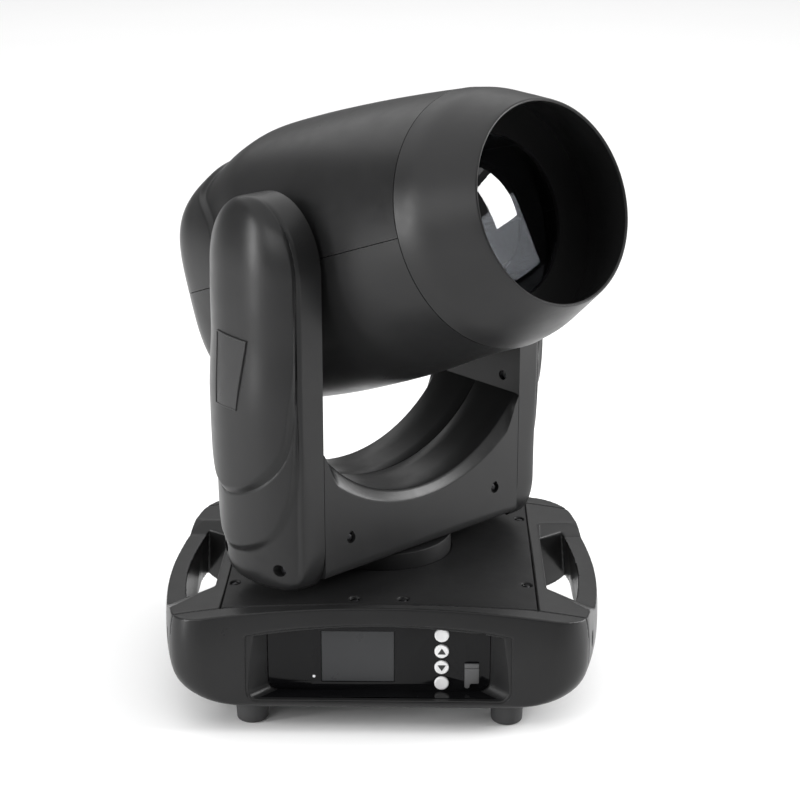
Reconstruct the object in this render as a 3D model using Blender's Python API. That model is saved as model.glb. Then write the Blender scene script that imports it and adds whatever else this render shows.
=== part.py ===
"""Moving head light: a base with a display, a yoke that pans on it and a head that tilts in the yoke.

Sizes are in millimetres here, and become metres when a mesh is made. The origin is on the pan axis, at the
underside of the base plate. -Y is the front of the base and +Z is up. The yoke and the head are built square
in their own frames, with the beam along -Y, and two empties turn them to the pose that the light is shown in.
"""

import math

import bmesh
import bpy
from mathutils import Vector

MM = 0.001
GAP = 0.3

# Pose of the two motorised axes
PAN = 43.4
TILT = 19.8
TILT_AXIS_Z = 356.2

# Base
BASE_HALF_WIDTH = 189.5
BASE_HALF_DEPTH = 146.0
BASE_HEIGHT = 87.6
BASE_CROWN = 0.000507
BASE_WALL = 3.0
SIDE_ARC_RADIUS = 480.0
CORNER_RADIUS = 32.0
BASE_FLOOR_HALF_WIDTH = 130.0
COVER_SEAM_Y = 119.6
HANDLE_SEAM_X = 131.2
TOP_COVER_BULGE = 9.0
COLLAR_RADIUS = 60.0
HOLE_INNER_X = 141.0
HOLE_OUTER_X = 172.0
HOLE_FLARE = 44.0
BAR_DROP = 9.0
FOOT_X = 107.0
FOOT_Y = 117.0
FOOT_HEIGHT = 22.0

# Display recess in the front of the base
WINDOW_HALF_WIDTH = 109.0
WINDOW_FLOOR_Z = 8.6
WINDOW_TOP_Z = 71.5
WINDOW_TOP_DROP = 10.0
WINDOW_CORNER = 9.0
PANEL_Y = -127.0
PANEL_HALF_WIDTH = 92.0
LCD = (-47.5, 12.5, 16.5, 62.3)
BUTTON_X = 52.0
BUTTON_Z = (59.5, 44.9, 30.3, 15.7)
BUTTON_RADIUS = 6.0
BUTTON_TRAVEL = 1.0
USB_COVER = (71.0, 83.0, 12.0, 34.5)
FLAP_HINGE = 1.2

# Yoke
ARM_INNER_X = 112.2
ARM_RIDGE_X = 137.5
ARM_BULGE = 19.0
ARM_HALF_DEPTH = 55.0
ARM_CAP_Z = 360.0
ARM_CAP_HEIGHT = 60.0
ARM_BOTTOM_Z = 96.0
ARM_WALL = 2.5
YOKE_BOTTOM_Z = 103.3
SADDLE_RADIUS = 138.0
SADDLE_CENTRE_Z = 295.0
PLATE_X = 117.0
PLATE = 3.0

# Drives
PAN_PULLEY_RADIUS = 34.0
PAN_DRIVE_RADIUS = 8.0
PAN_DRIVE_X = 62.0
PAN_PULLEY_Z = 116.0
PULLEY_WIDTH = 10.0
TILT_PULLEY_RADIUS = 44.0
TILT_DRIVE_RADIUS = 8.0
TILT_DRIVE_Z = 147.0
TILT_PULLEY_X = -133.8
BELT = 1.5
BELT_CLEARANCE = 0.7
SHAFT_RADIUS = 2.5
TRUNNION_RADIUS = 14.0

# Head, with lengths measured forward from the tilt axis
SEAM_LENGTH = 141.0
RIM_LENGTH = 207.3
SEAM_RADIUS = 103.0
RIM_RADIUS = 79.1
SHELL_WALL = 3.0
REAR_LENGTH = -183.0
DECK_Z = -40.0
WHEEL_RADIUS = 50.0
WHEEL_OFFSET = (22.0, 30.0)
WHEEL_PITCH = math.hypot(*WHEEL_OFFSET)

# Distance forward of the tilt axis, half width, top, bottom and squareness of the head's outer skin
HEAD_STATIONS = (
    (141.0, 103.0, 103.0, 103.0, 2.0),
    (117.0, 104.6, 106.3, 104.0, 2.02),
    (92.0, 106.0, 109.5, 105.5, 2.05),
    (56.0, 107.4, 113.6, 109.5, 2.1),
    (20.0, 108.0, 117.0, 113.0, 2.15),
    (-20.0, 108.0, 120.0, 115.0, 2.2),
    (-60.0, 107.4, 122.6, 116.0, 2.3),
    (-95.0, 105.6, 122.5, 115.0, 2.5),
    (-122.0, 102.8, 115.0, 111.0, 2.75),
    (-145.0, 97.5, 101.0, 102.0, 3.0),
    (-162.0, 88.0, 86.0, 88.0, 3.1),
    (-173.0, 77.5, 71.0, 72.0, 3.0),
    (REAR_LENGTH, 50.0, 50.0, 52.0, 2.7),
)

BLACK_PLASTIC = ((0.018, 0.018, 0.019), 0.5, 0.0)
BLACK_METAL = ((0.02, 0.02, 0.021), 0.45, 0.6)
GLOSS_BLACK = ((0.006, 0.006, 0.007), 0.1, 0.0)
SCREEN = ((0.03, 0.03, 0.032), 0.15, 0.0)
WHITE = ((0.8, 0.8, 0.8), 0.4, 0.0)
RUBBER = ((0.02, 0.02, 0.02), 0.8, 0.0)
STEEL = ((0.45, 0.45, 0.46), 0.35, 1.0)
ALUMINIUM = ((0.6, 0.6, 0.62), 0.4, 1.0)
BRASS = ((0.6, 0.42, 0.16), 0.35, 1.0)
BOARD = ((0.01, 0.07, 0.03), 0.5, 0.0)
GLASS = ((0.75, 0.82, 0.85), 0.05, 0.0)


def clear_scene():
    for thing in list(bpy.data.objects):
        bpy.data.objects.remove(thing, do_unlink=True)


def material(name, look):
    made = bpy.data.materials.new(name)
    made.use_nodes = True
    shader = made.node_tree.nodes["Principled BSDF"]
    colour, roughness, metallic = look
    shader.inputs["Base Color"].default_value = (*colour, 1.0)
    shader.inputs["Roughness"].default_value = roughness
    shader.inputs["Metallic"].default_value = metallic
    return made


def solid(name, corners, faces, look=None, parent=None, at=(0, 0, 0), smooth=True):
    """One object from corners and faces; without a look it is a cutter."""
    mesh = bpy.data.meshes.new(name)
    mesh.from_pydata([Vector(c) * MM for c in corners], [], faces)
    shape = bmesh.new()
    shape.from_mesh(mesh)
    bmesh.ops.recalc_face_normals(shape, faces=shape.faces)
    shape.to_mesh(mesh)
    shape.free()
    if smooth:
        mesh.shade_smooth()
        mesh.set_sharp_from_angle(angle=math.radians(35))
    made = bpy.data.objects.new(name, mesh)
    bpy.context.collection.objects.link(made)
    made.location = Vector(at) * MM
    made.parent = parent
    if look is None:
        made.hide_render = True
        made.display_type = "WIRE"
    else:
        mesh.materials.append(material(name, look))
    return made


def axis_empty(name, parent=None, at=(0, 0, 0), turn=(0, 0, 0)):
    made = bpy.data.objects.new(name, None)
    bpy.context.collection.objects.link(made)
    made.parent = parent
    made.location = Vector(at) * MM
    made.rotation_euler = [math.radians(a) for a in turn]
    return made


def combine(target, operation, *others):
    for other in others:
        step = target.modifiers.new(operation.title(), "BOOLEAN")
        step.operation = operation
        step.solver = "EXACT"
        step.object = other
        other.hide_render = True
        other.display_type = "WIRE"
    return target


def carve(target, *cutters):
    return combine(target, "DIFFERENCE", *cutters)


def keep_inside(target, *regions):
    return combine(target, "INTERSECT", *regions)


def fuse(target, *parts):
    return combine(target, "UNION", *parts)


def bridge(first, second, count):
    """Quads between two rings of count corners that start at the given indices."""
    return [
        (first + i, first + (i + 1) % count, second + (i + 1) % count, second + i)
        for i in range(count)
    ]


def loft(name, rings, look=None, parent=None, at=(0, 0, 0), mirrored_caps=False):
    """Skin over rings of equal length; mirrored caps run in strips between corners that mirror each other."""
    count = len(rings[0])
    corners = [c for ring in rings for c in ring]
    faces = []
    for i in range(len(rings) - 1):
        faces += bridge(i * count, (i + 1) * count, count)
    last = (len(rings) - 1) * count
    if mirrored_caps:
        half = count // 2
        for start in (0, last):
            for i in range(half):
                across = (count - i - 1) % count
                strip = [start + i, start + i + 1, start + across, start + (across + 1) % count]
                faces.append(tuple(dict.fromkeys(strip)))
    else:
        faces.append(tuple(range(count)))
        faces.append(tuple(range(last, last + count)))
    return solid(name, corners, faces, look, parent, at)


def place(u, v, w, axis):
    """Corner at u, v across an axis and w along it; X takes (y, z), Y takes (x, z) and Z takes (x, y)."""
    return {"X": (w, u, v), "Y": (u, w, v), "Z": (u, v, w)}[axis]


def prism(name, outline, span, axis="Z", look=None, parent=None, at=(0, 0, 0)):
    rings = [[place(u, v, w, axis) for u, v in outline] for w in span]
    return loft(name, rings, look, parent, at)


def turned(name, profile, axis="Z", look=None, parent=None, at=(0, 0, 0), segments=24):
    """Closed profile of (radius, height) turned about an axis; a radius of 0 becomes one corner."""
    corners = []
    rows = []
    for radius, height in profile:
        if radius == 0:
            rows.append([len(corners)] * segments)
            corners.append(place(0, 0, height, axis))
            continue
        rows.append([len(corners) + i for i in range(segments)])
        for i in range(segments):
            turn = 2 * math.pi * i / segments
            corners.append(place(radius * math.cos(turn), radius * math.sin(turn), height, axis))
    faces = []
    for row, following in zip(rows, rows[1:] + rows[:1]):
        if row[0] == row[1] and following[0] == following[1]:
            continue
        for i in range(segments):
            j = (i + 1) % segments
            faces.append(tuple(dict.fromkeys((row[i], row[j], following[j], following[i]))))
    return solid(name, corners, faces, look, parent, at)


def disc(name, radius, span, axis="Z", look=None, parent=None, at=(0, 0, 0), segments=24):
    return prism(name, circle(0, 0, radius, segments), span, axis, look, parent, at)


def tube(name, inner, outer, span, axis="Z", look=None, parent=None, at=(0, 0, 0), segments=24):
    low, high = span
    profile = [(inner, low), (outer, low), (outer, high), (inner, high)]
    return turned(name, profile, axis, look, parent, at, segments)


def block(name, x, y, z, look=None, parent=None, at=(0, 0, 0), bevel=0.0):
    made = prism(name, [(x[0], y[0]), (x[1], y[0]), (x[1], y[1]), (x[0], y[1])], z, "Z", look, parent, at)
    if bevel:
        edge = made.modifiers.new("Bevel", "BEVEL")
        edge.width = bevel * MM
        edge.segments = 1
    return made


def many(name, pieces, axis, span, parent=None):
    """One cutter that holds several separate prisms."""
    corners = []
    faces = []
    for outline in pieces:
        count = len(outline)
        start = len(corners)
        for w in span:
            corners += [place(u, v, w, axis) for u, v in outline]
        faces += bridge(start, start + count, count)
        faces.append(tuple(range(start, start + count)))
        faces.append(tuple(range(start + count, start + 2 * count)))
    return solid(name, corners, faces, None, parent)


def circle(x, y, radius, segments=16):
    turns = [2 * math.pi * i / segments for i in range(segments)]
    return [(x + radius * math.cos(t), y + radius * math.sin(t)) for t in turns]


def rectangle(x0, x1, y0, y1):
    return [(x0, y0), (x1, y0), (x1, y1), (x0, y1)]


# ---------------------------------------------------------------- base


def crown(x):
    """Height of the base's arched top at x."""
    return BASE_HEIGHT - BASE_CROWN * x * x


def base_outline(half_width, half_depth):
    """Plan outline: bowed sides, round corners, straight front and back, and corners that mirror about Y."""
    side_x = half_width - SIDE_ARC_RADIUS
    reach = half_depth - CORNER_RADIUS
    corner_x = side_x + math.sqrt((SIDE_ARC_RADIUS - CORNER_RADIUS) ** 2 - reach**2)
    start = math.atan2(reach, corner_x - side_x)
    quarter = []
    for i in range(5):
        turn = start * i / 5
        quarter.append((side_x + SIDE_ARC_RADIUS * math.cos(turn), -SIDE_ARC_RADIUS * math.sin(turn)))
    for i in range(6):
        turn = start + (math.pi / 2 - start) * i / 5
        quarter.append((corner_x + CORNER_RADIUS * math.cos(turn), -reach - CORNER_RADIUS * math.sin(turn)))
    for i in range(1, 4):
        quarter.append((corner_x * (1 - i / 4), -half_depth))
    front = quarter + [(0, -half_depth)] + [(-x, y) for x, y in reversed(quarter)]
    back = [(x, -y) for x, y in reversed(front[1:-1])]
    return front + back


def base_form(name, wall, look=None):
    """The whole base as one form, or its inner form when wall is the thickness taken off."""
    rings = []
    for level in (0, 0.02, 0.06, 0.13, 0.24, 0.38, 0.56, 0.78, 1.0):
        tuck = max(0.0, 1 - level / 0.54) ** 2.8
        spread = (1 - tuck) ** (1 / 2.8)
        half_width = BASE_FLOOR_HALF_WIDTH + (BASE_HALF_WIDTH - BASE_FLOOR_HALF_WIDTH) * spread
        half_width -= 2.5 * max(0.0, (level - 0.6) / 0.4) ** 2
        half_depth = BASE_HALF_DEPTH - 9.5 * level**2 - 5 * (1 - min(1.0, level / 0.08)) ** 2
        outline = base_outline(half_width - wall, half_depth - wall)
        rings.append([(x, y, wall + level * (crown(x) - 2 * wall)) for x, y in outline])
    return loft(name, rings, look, mirrored_caps=True)


def window_outline(half_width, floor, top):
    """Arched top, level floor and round lower corners, across X and Z."""
    points = []
    for i in range(5):
        turn = math.pi / 2 * i / 4
        points.append(
            (
                half_width - WINDOW_CORNER + WINDOW_CORNER * math.sin(turn),
                floor + WINDOW_CORNER - WINDOW_CORNER * math.cos(turn),
            )
        )
    for i in range(9):
        x = half_width * (1 - i / 4)
        points.append((x, top - WINDOW_TOP_DROP * (x / WINDOW_HALF_WIDTH) ** 2))
    return points + [(-x, z) for x, z in reversed(points[:5])]


def top_cover_outline(grow):
    edge = HANDLE_SEAM_X - GAP + grow
    front = []
    for i in range(9):
        x = edge * (1 - i / 4)
        front.append((x, -COVER_SEAM_Y - GAP + 1.5 - grow - TOP_COVER_BULGE * (1 - (x / edge) ** 2)))
    return front + [(x, -y) for x, y in reversed(front)]


def build_base_shell():
    inner = base_form("inner_form", BASE_WALL)
    front = base_form("base_front_cover", 0, BLACK_PLASTIC)
    rear = base_form("base_rear_cover", 0, BLACK_PLASTIC)
    top = base_form("base_top_cover", 0, BLACK_PLASTIC)
    top_space = prism("top_space", top_cover_outline(GAP), (50, 120))
    far = 260.0
    front_region = block("front_region", (-far, far), (-far, -COVER_SEAM_Y), (-20, 120))
    rear_region = block("rear_region", (-far, far), (COVER_SEAM_Y, far), (-20, 120))
    opening = window_outline(WINDOW_HALF_WIDTH, WINDOW_FLOOR_Z - 1.5, WINDOW_TOP_Z)
    window = prism("window", opening, (-170, -110), "Y")
    bay = prism("bay", rectangle(-96, 96, 12, 62), (125, 170), "Y")
    carve(front, inner)
    keep_inside(front, front_region)
    carve(front, top_space, window)
    carve(rear, inner)
    keep_inside(rear, rear_region)
    carve(rear, top_space, bay)
    carve(top, inner)
    keep_inside(top, prism("top_region", top_cover_outline(0), (60, 120)))
    carve(top, disc("collar_hole", COLLAR_RADIUS + GAP, (60, 120), segments=32))
    rings = []
    for half_width, z in ((128.5, 0), (130.6, 2.6)):
        rings.append([(x, y, z) for x, y in rectangle(-half_width, half_width, -119.2, 119.2)])
    loft("base_plate", rings, BLACK_METAL)
    tube("pan_collar", 56, COLLAR_RADIUS, (80, 102), look=BLACK_PLASTIC, segments=32)


def handle_hole(side, z, flare):
    """Plan of the hand hole: straight inside, slanted ends and a bowed outside."""
    outer = [(HOLE_OUTER_X + 0.2 * flare - 8.0 * (y / 74) ** 2, y) for y in (-74, -50, -25, 0, 25, 50, 74)]
    corners = [(HOLE_INNER_X, -58)] + outer + [(HOLE_INNER_X, 58)]
    return [(side * x, y + math.copysign(flare, y) if abs(y) > 55 else y, z) for x, y in corners]


def build_handle(name, side):
    """Side piece of the base: two shoulders with a lower grip bar between them."""
    made = base_form(name, 0, BLACK_PLASTIC)
    span = sorted((side * HANDLE_SEAM_X, side * 260))
    keep_inside(made, block(name + "_region", span, (-COVER_SEAM_Y + GAP, COVER_SEAM_Y - GAP), (-20, 120)))
    rings = []
    for rise, at_inside, at_outside in ((0, 60, 85), (18, 84, 139)):
        plan = ((HOLE_INNER_X, -at_inside), (200, -at_outside), (200, at_outside), (HOLE_INNER_X, at_inside))
        rings.append([(side * x, y, crown(x) - BAR_DROP + rise) for x, y in plan])
    carve(made, loft(name + "_drop", rings))
    rings = [handle_hole(side, -20, HOLE_FLARE), handle_hole(side, 66, 0), handle_hole(side, 120, 0)]
    carve(made, loft(name + "_hole", rings))


def build_display():
    housing = prism(
        "display_housing",
        window_outline(WINDOW_HALF_WIDTH - GAP, WINDOW_FLOOR_Z - 1.5 + GAP, WINDOW_TOP_Z - GAP),
        (-141.5, PANEL_Y + 4.6),
        "Y",
        BLACK_PLASTIC,
    )
    mouth = window_outline(WINDOW_HALF_WIDTH - 1.6, WINDOW_FLOOR_Z + 0.3, WINDOW_TOP_Z - 1.8)
    back = window_outline(PANEL_HALF_WIDTH + GAP, WINDOW_FLOOR_Z, WINDOW_TOP_Z - 1.8)
    rings = [
        [(x, -143.0, z) for x, z in mouth],
        [(x, PANEL_Y - 1.0, z) for x, z in back],
        [(x, PANEL_Y + 2.6, z) for x, z in back],
    ]
    carve(housing, loft("recess", rings))
    carve(housing, prism("housing_back", rectangle(-52, 88, 9.2, 66.2), (-150, -100), "Y"))
    panel_outline = window_outline(PANEL_HALF_WIDTH, WINDOW_FLOOR_Z + GAP, WINDOW_TOP_Z - 1.8 - GAP)
    panel = prism("display_panel", panel_outline, (PANEL_Y, PANEL_Y + 2.3), "Y", GLOSS_BLACK)
    x0, x1, z0, z1 = LCD
    carve(panel, prism("lcd_space", rectangle(x0 - GAP, x1 + GAP, z0 - GAP, z1 + GAP), (-150, -100), "Y"))
    holes = [circle(BUTTON_X, z, BUTTON_RADIUS + 0.35, 24) for z in BUTTON_Z]
    carve(panel, many("button_holes", holes, "Y", (-150, -100)))
    carve(panel, prism("usb_space", rectangle(73.5, 80.5, 17, 32), (-150, -100), "Y"))
    block("lcd_screen", (x0, x1), (PANEL_Y + 0.4, PANEL_Y + 6.0), (z0, z1), SCREEN)
    names = ("menu_button", "up_button", "down_button", "enter_button")
    for name, z in zip(names, BUTTON_Z):
        profile = [(0, -1.4), (BUTTON_RADIUS - 0.6, -1.4), (BUTTON_RADIUS, -0.8), (BUTTON_RADIUS, 2.4)]
        profile += [(2.5, 2.4), (2.5, 7.3), (0, 7.3)]
        turned(name, profile, "Y", WHITE, at=(BUTTON_X, PANEL_Y, z), segments=20)
    board = block("control_board", (-60, 89.5), (-118.3, -116.7), (10, 66), BOARD)
    fuse(board, block("usb_shell", (74.2, 79.8), (-126.8, -118.0), (18, 31)))
    carve(board, block("usb_mouth", (75.0, 79.0), (-130, -119.5), (19, 30)))
    x0, x1, z0, z1 = USB_COVER
    foot = z0 - z1
    flap = [(0.9, 0), (0.64, 0.64), (0, 0.9), (-0.64, 0.64), (-0.9, 0)]
    flap += [(-0.9, -16), (-2.4, foot + 1), (-1.4, foot), (0.9, foot + 4)]
    prism("usb_cover", flap, (x0, x1), "X", RUBBER, at=(0, PANEL_Y - FLAP_HINGE, z1))


def build_base_inside():
    profile = [(12, 3.0), (50, 3.0), (50, 7.0), (24, 7.0), (19, 13), (19, 134), (12, 134)]
    turned("pan_shaft", profile, look=STEEL)
    tube(
        "pan_fixed_pulley",
        19.3,
        PAN_PULLEY_RADIUS,
        (PAN_PULLEY_Z, PAN_PULLEY_Z + PULLEY_WIDTH),
        look=ALUMINIUM,
        segments=32,
    )
    block("power_supply", (-120, -62), (-70, 95), (4, 52), ALUMINIUM, bevel=1.5)


def build_connectors():
    """Sockets in an aluminium panel at the back of the base."""
    y = 137.0
    panel = prism("connector_panel", rectangle(-95.6, 95.6, 12.4, 61.6), (y, y + 2), "Y", BLACK_METAL)
    holes = [circle(x, 37, 12.3, 24) for x in (14, 46)] + [circle(78, 37, 8.3, 20)]
    holes += [rectangle(x - 13.8, x + 13.8, 22.7, 51.3) for x in (-71.5, -31.5)]
    carve(panel, many("socket_holes", holes, "Y", (100, 180)))
    for name, x in (("power_inlet", -71.5), ("power_outlet", -31.5)):
        body = block(name, (x - 13.5, x + 13.5), (y - 16, y + 4), (23, 51), BLACK_PLASTIC, bevel=0.8)
        carve(body, disc(name + "_well", 10.5, (y - 10, y + 20), "Y", at=(x, 0, 37), segments=24))
    for name, x in (("data_inlet", 14), ("data_outlet", 46)):
        profile = [(0, y - 8), (0, y - 14), (12, y - 14), (12, y + 4), (9, y + 4), (9, y - 8)]
        turned(name, profile, "Y", BLACK_METAL, at=(x, 0, 37), segments=24)
    profile = [(0, y - 14), (8, y - 14), (8, y + 2.3), (6.5, y + 5), (0, y + 5)]
    turned("fuse_holder", profile, "Y", BLACK_PLASTIC, at=(78, 0, 37), segments=20)


def build_feet():
    profile = [(0, -FOOT_HEIGHT), (12.2, -FOOT_HEIGHT), (13.2, -FOOT_HEIGHT + 1), (14, -GAP), (0, -GAP)]
    for name, x, y in (
        ("front_left_foot", -FOOT_X, -FOOT_Y),
        ("front_right_foot", FOOT_X, -FOOT_Y),
        ("rear_left_foot", -FOOT_X, FOOT_Y),
        ("rear_right_foot", FOOT_X, FOOT_Y),
    ):
        turned(name, profile, look=RUBBER, at=(x, y, 0), segments=24)


# ---------------------------------------------------------------- yoke


def arm_ring(side, z, inner_x, inset):
    """Plan of an arm at one height: straight inside and front, and an outside that bulges past a ridge."""
    half_depth = ARM_HALF_DEPTH
    ridge = ARM_RIDGE_X
    bulge = ARM_BULGE
    if z > ARM_CAP_Z:
        fall = math.sqrt(1 - ((z - ARM_CAP_Z) / ARM_CAP_HEIGHT) ** 2)
        half_depth *= fall
        bulge *= fall
    if z < ARM_BOTTOM_Z + 36:
        fall = 1 - math.sqrt(1 - ((ARM_BOTTOM_Z + 36 - z) / 38) ** 2)
        half_depth -= 18 * fall
        ridge -= 6 * fall
        bulge -= 7 * fall
    half_depth -= inset
    ring = [(side * inner_x, -half_depth, z), (side * 0.5 * (inner_x + ridge), -half_depth, z)]
    for i in range(11):
        turn = -math.pi / 2 + math.pi * i / 10
        x = ridge - inset + bulge * (1 - abs(math.sin(turn)) ** 3)
        ring.append((side * x, half_depth * math.sin(turn), z))
    ring += [(side * 0.5 * (inner_x + ridge), half_depth, z), (side * inner_x, half_depth, z)]
    return ring


def arm_levels(bottom, top):
    """Heights that crowd towards the round bottom and the round top."""
    low = [bottom + 36 * (1 - math.cos(math.pi / 2 * i / 4)) for i in range(5)]
    cap = [ARM_CAP_Z + (top - ARM_CAP_Z) * math.sin(math.pi / 2 * i / 7) for i in range(8)]
    return low + [200, 290] + cap


def build_arm(name, side, parent):
    levels = arm_levels(ARM_BOTTOM_Z, ARM_CAP_Z + ARM_CAP_HEIGHT - 0.6)
    rings = [arm_ring(side, z, ARM_INNER_X + GAP, 0) for z in levels]
    cover = loft(name + "_arm_cover", rings, BLACK_PLASTIC, parent)
    top = ARM_CAP_Z + ARM_CAP_HEIGHT - ARM_WALL - 2.5
    levels = [YOKE_BOTTOM_Z + 1.5] + [z for z in arm_levels(ARM_BOTTOM_Z, top) if z > YOKE_BOTTOM_Z + 3]
    carve(cover, loft(name + "_arm_space", [arm_ring(side, z, 90, ARM_WALL) for z in levels], None, parent))
    outline = []
    for i in range(13):
        turn = math.pi * i / 12
        half_depth = ARM_HALF_DEPTH - ARM_WALL - GAP
        outline.append((half_depth * math.cos(turn), ARM_CAP_Z + (top - ARM_CAP_Z - 1.2) * math.sin(turn)))
    outline += [(-outline[0][0], 214.8), (outline[0][0], 214.8)]
    span = (side * (ARM_INNER_X + GAP), side * (ARM_INNER_X + GAP + 2.2))
    panel = prism(name + "_arm_panel", outline, span, "X", BLACK_PLASTIC, parent)
    hole = disc(name + "_panel_hole", TRUNNION_RADIUS + 3, (-160, 160), "X", None, parent, (0, 0, TILT_AXIS_Z))
    carve(panel, hole)
    bearing = (side * (PLATE_X - 1.8), side * (PLATE_X + 5))
    centre = (0, 0, TILT_AXIS_Z)
    tube(name + "_tilt_bearing", TRUNNION_RADIUS + GAP, 24, bearing, "X", STEEL, parent, centre)


def saddle_outline(rise, reach, floor):
    """Front view of the yoke's middle: a level floor under a round saddle."""
    points = [(-reach, floor), (reach, floor)]
    radius = SADDLE_RADIUS + rise
    edge = math.asin(min(1.0, (ARM_INNER_X - 0.2) / radius))
    for i in range(17):
        turn = edge - 2 * edge * i / 16
        x = radius * math.sin(turn)
        z = SADDLE_CENTRE_Z - radius * math.cos(turn)
        if i in (0, 16):
            x = math.copysign(reach, x)
        points.append((x, z))
    return points


def build_yoke_cover(name, side, parent):
    reach = ARM_INNER_X - 0.2
    span = sorted((side * 0.15, side * ARM_HALF_DEPTH))
    cover = prism(name, saddle_outline(0, reach, YOKE_BOTTOM_Z), span, "Y", BLACK_PLASTIC, parent)
    hollow = sorted((-side * 10, side * (ARM_HALF_DEPTH - ARM_WALL)))
    space = saddle_outline(ARM_WALL, 130, YOKE_BOTTOM_Z + ARM_WALL)
    carve(cover, prism(name + "_space", space, hollow, "Y", None, parent))
    carve(cover, disc(name + "_hole", 32, (90, 125), "Z", None, parent))


def build_yoke_plate(parent):
    """Steel U bracket that carries the bearings and the motors."""
    floor = YOKE_BOTTOM_Z + ARM_WALL + 0.6
    reach = PLATE_X + PLATE
    made = block("yoke_bracket", (-reach, reach), (-38, 38), (floor, floor + PLATE), STEEL, parent)
    turns = [math.pi * i / 8 for i in range(9)]
    outline = [(38 * math.cos(turn), TILT_AXIS_Z + 38 * math.sin(turn)) for turn in turns]
    outline += [(-38, floor + 1), (38, floor + 1)]
    for side in (-1, 1):
        span = (side * PLATE_X, side * (PLATE_X + PLATE))
        fuse(made, prism(f"bracket_arm_{side}", outline, span, "X", None, parent))
    bore = disc("bearing_bore", 24 + GAP, (-160, 160), "X", None, parent, (0, 0, TILT_AXIS_Z))
    shaft_hole = disc("motor_bore", 11, (-160, -100), "X", None, parent, (0, 0, TILT_DRIVE_Z), 16)
    carve(made, bore, shaft_hole, disc("pan_bore", 30.4, (90, 125), "Z", None, parent))
    tube("pan_bearing", 19.3, 30, (floor - 0.2, floor + 6.5), look=STEEL, parent=parent)


def belt(name, big, small, distance, span, axis, parent, at, turn=0.0):
    """Flat belt round two pulleys; the small one lies at the distance along the direction that turn gives."""

    def wrap(grow):
        spread = math.acos((big - small) / distance)
        points = []
        for i in range(17):
            a = spread + (2 * math.pi - 2 * spread) * i / 16
            points.append(((big + grow) * math.cos(a), (big + grow) * math.sin(a)))
        for i in range(7):
            a = -spread + 2 * spread * i / 6
            points.append((distance + (small + grow) * math.cos(a), (small + grow) * math.sin(a)))
        c, s = math.cos(turn), math.sin(turn)
        return [(x * c - y * s, x * s + y * c) for x, y in points]

    made = prism(name, wrap(BELT_CLEARANCE + BELT), span, axis, RUBBER, parent, at)
    low, high = sorted(span)
    return carve(made, prism(name + "_inside", wrap(BELT_CLEARANCE), (low - 5, high + 5), axis, None, parent, at))


def build_drives(parent):
    z = PAN_PULLEY_Z
    span = (z, z + PULLEY_WIDTH)
    bore = SHAFT_RADIUS + GAP
    tube("pan_drive_pulley", bore, PAN_DRIVE_RADIUS, span, "Z", BRASS, parent, (PAN_DRIVE_X, 0, 0), 20)
    middle = (z + 1.5, z + PULLEY_WIDTH - 1.5)
    belt("pan_belt", PAN_PULLEY_RADIUS, PAN_DRIVE_RADIUS, PAN_DRIVE_X, middle, "Z", parent, (0, 0, 0))
    x = PAN_DRIVE_X
    top = z + PULLEY_WIDTH
    motor = block("pan_motor", (x - 21, x + 21), (-21, 21), (top + 5, top + 33), BLACK_METAL, parent)
    fuse(motor, block("motor_shelf", (x - 21, x + 21), (-27, 27), (top + 2, top + 6), None, parent))
    for side in (-1, 1):
        ys = sorted((side * 24, side * 27))
        fuse(motor, block(f"motor_leg_{side}", (x - 21, x + 21), ys, (109.8, top + 3), None, parent))
    fuse(motor, disc("pan_motor_shaft", SHAFT_RADIUS, (z - 2, top + 8), "Z", None, parent, (x, 0, 0), 16))

    at = (0, 0, TILT_DRIVE_Z)
    span = (TILT_PULLEY_X, TILT_PULLEY_X + PULLEY_WIDTH)
    tube("tilt_drive_pulley", bore, TILT_DRIVE_RADIUS, span, "X", BRASS, parent, at, 20)
    middle = (TILT_PULLEY_X + 1.5, TILT_PULLEY_X + PULLEY_WIDTH - 1.5)
    distance = TILT_AXIS_Z - TILT_DRIVE_Z
    centre = (0, 0, TILT_AXIS_Z)
    belt("tilt_belt", TILT_PULLEY_RADIUS, TILT_DRIVE_RADIUS, distance, middle, "X", parent, centre, -math.pi / 2)
    inside = -PLATE_X + GAP
    low = TILT_DRIVE_Z - 21
    motor = block("tilt_motor", (inside, inside + 32), (-21, 21), (low, low + 42), BLACK_METAL, parent)
    span = (TILT_PULLEY_X, inside + 5)
    fuse(motor, disc("tilt_motor_shaft", SHAFT_RADIUS, span, "X", None, parent, at, 16))


def build_badge(parent):
    """Blank plate on the left arm's outer face."""
    rings = []
    for lift in (2 * GAP, 2 * GAP + 1.0):
        ring = []
        for y, z in ((-4, 249), (12, 248.5), (26, 248), (24, 310), (8, 309.6), (-16, 309)):
            face = ARM_RIDGE_X + ARM_BULGE * (1 - abs(y / ARM_HALF_DEPTH) ** 3)
            ring.append((-face - lift, y, z))
        rings.append(ring)
    loft("left_badge", rings, GLOSS_BLACK, parent)


# ---------------------------------------------------------------- head


def head_ring(length, half_width, top, bottom, squareness, inset):
    ring = []
    for i in range(32):
        turn = 2 * math.pi * i / 32
        c, s = math.cos(turn), math.sin(turn)
        x = (half_width - inset) * math.copysign(abs(c) ** (2 / squareness), c)
        height = (top if s > 0 else bottom) - inset
        ring.append((x, -length, height * math.copysign(abs(s) ** (2 / squareness), s)))
    return ring


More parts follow.
